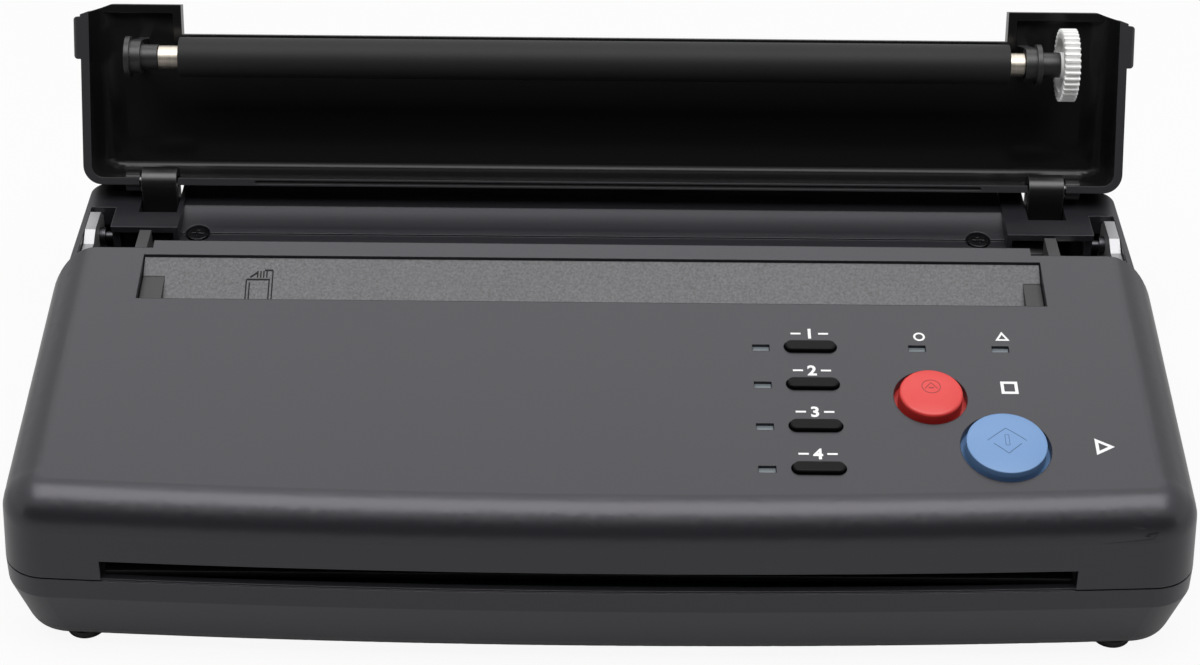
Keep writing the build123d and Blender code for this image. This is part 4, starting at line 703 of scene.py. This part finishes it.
# %% signs beside the lamps and buttons
round_sign = 48  # points that look like a circle
panel_signs = (  # middle, radius, corners, angle of the first corner, line width; lengths in millimetres
    ((76.04, 60.24), 1.15, round_sign, 0, 0.5),  # power
    ((95.91, 60.16), 1.5, 3, 90, 0.5),  # error
    ((95.9, 43.55), 2.3, 4, 45, 0.75),  # stop
    ((115.2, 24.98), 2.2, 3, 0, 0.75),  # start
)
for middle, radius, corners, first_angle, width in panel_signs:
    outline = circle(np.array(middle) * mm, radius * mm, corners, first_angle)
    marks.append(ribbon(outline, width * mm, print_thickness, True))
points, faces = join(marks)
piece("panel_print", on_panel(points), faces, print_white, "base")

# %% [markdown]
# ## Signs moulded in the buttons
# The stop button carries a ring with a triangle and a bar in it, and the start button two chevrons round an
# upright bar. They lie on a dome, so each point is lowered by the dome's fall: the dome's radius less the
# height of its arc at that distance from the middle. The long lines are cut into short steps to follow it.

# %% button signs
button_proud = 2.6 * mm
sign_thickness = 0.02 * mm


def on_dome(points, middle, radius):
    """Put flat points (along, up, lift) about a button's middle on its dome, each lowered by the fall."""
    points = np.array(points, float)
    reach = (points[:, :2] ** 2).sum(axis=1)
    points[:, 2] += button_proud - (radius - np.sqrt(radius**2 - reach))
    points[:, :2] += middle
    return on_panel(points)


def dense(path, count=9):
    """Straight path cut into equal steps, so that it can bend over a dome."""
    start, end = np.asarray(path, float)
    return start + (end - start) * np.linspace(0, 1, count)[:, None]


def button_sign(name, paths, middle, radius, material, body):
    """One mesh from open paths and closed rings, each with its width, bent over the button's dome."""
    strips = [ribbon(path, width, sign_thickness, closed) for path, width, closed in paths]
    points, faces = join(strips)
    piece(name, on_dome(points, middle, radius), faces, material, body)


line = 0.22 * mm

# %% sign on the stop button
stop_middle = np.array((77.1, 40.25)) * mm
stop_dome = 31.3 * mm
ring_middle, ring_radius = (0.0, 1.1 * mm), 2.15 * mm
foot, foot_half = 0.35 * mm, 1.5 * mm
apex = (0.0, 2.35 * mm)
bar_rise, bar_half, bar_width = foot + 0.25 * mm, 0.6 * mm, 0.4 * mm
stop_paths = [
    (circle(ring_middle, ring_radius), line, True),
    (dense([(-foot_half, foot), apex]), line, False),
    (dense([apex, (foot_half, foot)]), line, False),
    (dense([(-bar_half, bar_rise), (bar_half, bar_rise)]), bar_width, False),
]
button_sign("stop_sign", stop_paths, stop_middle, stop_dome, red_groove, "stop_button")

# %% sign on the start button
start_middle = np.array((93.1, 24.4)) * mm
start_dome = 48.0 * mm
tall = 3.9 * mm
upper_half, upper_foot = 4.5 * mm, 0.1 * mm
lower_half, lower_foot = 3.2 * mm, -0.9 * mm
post_half, post_low, post_top = 0.45 * mm, -1.5 * mm, 1.7 * mm
post_line = line * 0.7
start_paths = [
    (dense([(-upper_half, upper_foot), (0, tall)]), line, False),
    (dense([(0, tall), (upper_half, upper_foot)]), line, False),
    (dense([(-lower_half, lower_foot), (0, -tall)]), line, False),
    (dense([(0, -tall), (lower_half, lower_foot)]), line, False),
    (dense([(-post_half, post_low), (-post_half, post_top)]), post_line, False),
    (dense([(post_half, post_low), (post_half, post_top)]), post_line, False),
    (dense([(-post_half, post_top), (post_half, post_top)]), post_line, False),
    (dense([(-post_half, post_low), (post_half, post_low)]), post_line, False),
]
button_sign("start_sign", start_paths, start_middle, start_dome, blue_groove, "start_button")

# %% [markdown]
# ## The sign on the ramp
# A small drawing of a sheet entering the machine is moulded in the ramp. The ramp is a plane that climbs to
# the back, so a point on it is a distance to the right, a distance up the slope and a lift.

# %% ramp sign
ramp_slope = math.radians(28.5)
ramp_run, ramp_rise = 74.85 * mm, 52.53 * mm  # where the drawing's foot lies, from the front and the floor
ramp_origin = np.array((0, front_y + ramp_run, ramp_rise))
cosine, sine = math.cos(ramp_slope), math.sin(ramp_slope)
ramp_axes = np.array([(1, 0, 0), (0, cosine, sine), (0, -sine, cosine)])
sheet_left, sheet_right, sheet_top = -87.4 * mm, -81.0 * mm, 5.6 * mm
sheet_fold = sheet_top + 2.6 * mm
inset = 0.8 * mm
thick, thin = 0.5 * mm, 0.34 * mm
ramp_paths = [
    ([(sheet_left, sheet_top), (sheet_right - 0.6 * mm, sheet_top)], thick),
    ([(sheet_left, sheet_top), (sheet_left, 0.0)], thin),
    ([(sheet_left + inset, sheet_top - inset), (sheet_left + inset, 0.0)], thin),
    ([(sheet_right, sheet_fold), (sheet_right, 0.0)], thin),
    ([(sheet_right - inset, sheet_top - 0.3 * mm), (sheet_right - inset, 0.0)], thin),
    ([(sheet_left + 0.9 * mm, sheet_top + 0.6 * mm), (sheet_left + 2.6 * mm, sheet_top + 1.9 * mm)], thick),
    ([(sheet_right - 2.0 * mm, sheet_fold), (sheet_right, sheet_fold)], thick),
    ([(sheet_left, 0.0), (sheet_right, 0.0)], thin),
]
tick_start, tick_step, tick_count = 2.7, 0.75, 4  # millimetres from the sheet's left, and how many
tick_foot, tick_top = sheet_top + 0.5 * mm, sheet_top + 2.4 * mm
for step in range(tick_count):
    across = sheet_left + (tick_start + tick_step * step) * mm
    ramp_paths.append(([(across, tick_foot), (across, tick_top)], thin))
points, faces = join([ribbon(path, width, sign_thickness, False) for path, width in ramp_paths])
piece("ramp_sign", ramp_origin + points @ ramp_axes, faces, ramp_groove, "base")

# %% [markdown]
# ## Marks on the mains rocker
# The rocker has a bar for on and a ring for off. A ray sent at the piece finds the face, and the face's
# normal gives the axes for a flat drawing on it. The face is hollow, so the drawings are thick enough to
# stand clear of it.

# %% rocker marks


def on_face(node, start, direction, across, points):
    """Lay flat points (along, up, lift) on the face of a node that a ray hits."""
    to_world = nodes[node].matrix_world
    to_node = to_world.inverted()
    _, place, normal, _ = nodes[node].ray_cast(to_node @ Vector(start), to_node.to_3x3() @ Vector(direction))
    normal = (to_world.to_3x3() @ normal).normalized()
    side = (Vector(across) - normal * normal.dot(Vector(across))).normalized()
    return np.array(to_world @ place) + points @ np.array((side, normal.cross(side), normal))


rocker_low, rocker_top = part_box("power_switch_rocker")
rocker_middle = (rocker_low + rocker_top) / 2
quarter = (rocker_top[0] - rocker_low[0]) / 4
rocker_print = 0.15 * mm
ray_gap = 20 * mm  # where the rays start, behind the rocker
on_half, on_width = 1.4 * mm, 0.5 * mm
off_radius, off_width = 1.3 * mm, 0.45 * mm
on_mark = ribbon([(0, -on_half), (0, on_half)], on_width, rocker_print, False)
off_mark = ribbon(circle((0, 0), off_radius), off_width, rocker_print, True)
for name, side, (points, faces) in (("on_mark", -1, on_mark), ("off_mark", 1, off_mark)):
    start = (rocker_middle[0] + side * quarter, rocker_top[1] + ray_gap, rocker_middle[2])
    place = on_face("power_switch_rocker", start, (0, -1, 0), (-1, 0, 0), points)
    piece(name, place, faces, print_white, "mains_rocker")

# %% [markdown]
# ## The studio
# The floor is a broad pale sheet. The world lights the machine softly, and looks white to the camera and in
# reflections. A large lamp hangs above and a weaker one hangs behind. A dark cloth behind the camera keeps
# polished faces deep, as it does in a real studio.

# %% floor
floor_half = 3.0
floor_white = 0.92  # the share of plain white that the camera sees on the floor
floor_mesh = bpy.data.meshes.new("floor")
floor_corners = [(x * floor_half, y * floor_half, 0) for x, y in ((-1, -1), (1, -1), (1, 1), (-1, 1))]
floor_mesh.from_pydata(floor_corners, [], [(0, 1, 2, 3)])
floor = bpy.data.objects.new("floor", floor_mesh)
bpy.context.scene.collection.objects.link(floor)
floor_paint, tree, principled = start_material("floor_paint")
feed(tree, principled, Base_Color=(0.62, 0.62, 0.62, 1), Roughness=0.9, Specular_IOR_Level=0.1)
path = add(tree, "ShaderNodeLightPath")
white = add(tree, "ShaderNodeEmission", Strength=1.0)
share = calc(tree, "MULTIPLY", path.outputs["Is Camera Ray"], floor_white)
mixed = add(tree, "ShaderNodeMixShader", _0=share, _1=principled.outputs[0], _2=white.outputs[0])
feed(tree, tree.nodes["Material Output"], Surface=mixed.outputs[0])
floor_mesh.materials.append(floor_paint)
print("floor:", 2 * floor_half, "m across")

# %% world
world_light, world_white = 0.25, 1.0
world = bpy.data.worlds.new("studio")
bpy.context.scene.world = world
world.use_nodes = True
tree = world.node_tree
path = add(tree, "ShaderNodeLightPath")
seen = calc(tree, "MAXIMUM", path.outputs["Is Camera Ray"], path.outputs["Is Glossy Ray"])
seen = calc(tree, "MAXIMUM", seen, path.outputs["Is Transmission Ray"])
level = add(tree, "ShaderNodeMapRange", Value=seen, To_Min=world_light, To_Max=world_white)
feed(tree, tree.nodes["Background"], Strength=level.outputs[0], Color=(1, 1, 1, 1))
print("world light:", world_light)

# %% lamps


def lamp(name, place, aim, width, depth, power):
    """Rectangular lamp at a place in metres, turned to look at its aim, with its power in watts."""
    data = bpy.data.lights.new(name, "AREA")
    data.shape = "RECTANGLE"
    data.size = width
    data.size_y = depth
    data.energy = power
    made = bpy.data.objects.new(name, data)
    bpy.context.scene.collection.objects.link(made)
    direction = Vector(aim) - Vector(place)
    made.matrix_world = Matrix.Translation(place) @ direction.to_track_quat("-Z", "Y").to_matrix().to_4x4()
    print(name, "at", round(direction.length, 2), "m with", power, "W")


lamp("top_lamp", place=(0.0, -0.25, 1.15), aim=(0, -0.05, 0), width=1.5, depth=0.75, power=16.0)
lamp("back_lamp", place=(0.0, 0.95, 1.3), aim=(0, 0, 0), width=1.6, depth=0.7, power=5.0)

# %% dark cloth
cloth_half, cloth_y, cloth_height = 2.4, -1.5, 1.3
cloth_mesh = bpy.data.meshes.new("dark_cloth")
cloth_corners = [(-cloth_half, cloth_y, 0.0), (cloth_half, cloth_y, 0.0)]
cloth_corners += [(cloth_half, cloth_y, cloth_height), (-cloth_half, cloth_y, cloth_height)]
cloth_mesh.from_pydata(cloth_corners, [], [(0, 1, 2, 3)])
cloth = bpy.data.objects.new("dark_cloth", cloth_mesh)
bpy.context.scene.collection.objects.link(cloth)
cloth.visible_camera = False
cloth_paint, tree, principled = start_material("cloth_paint")
feed(tree, principled, Base_Color=(0.01, 0.01, 0.01, 1), Roughness=0.95)
cloth_mesh.materials.append(cloth_paint)
print("cloth:", 2 * cloth_half, "m wide")
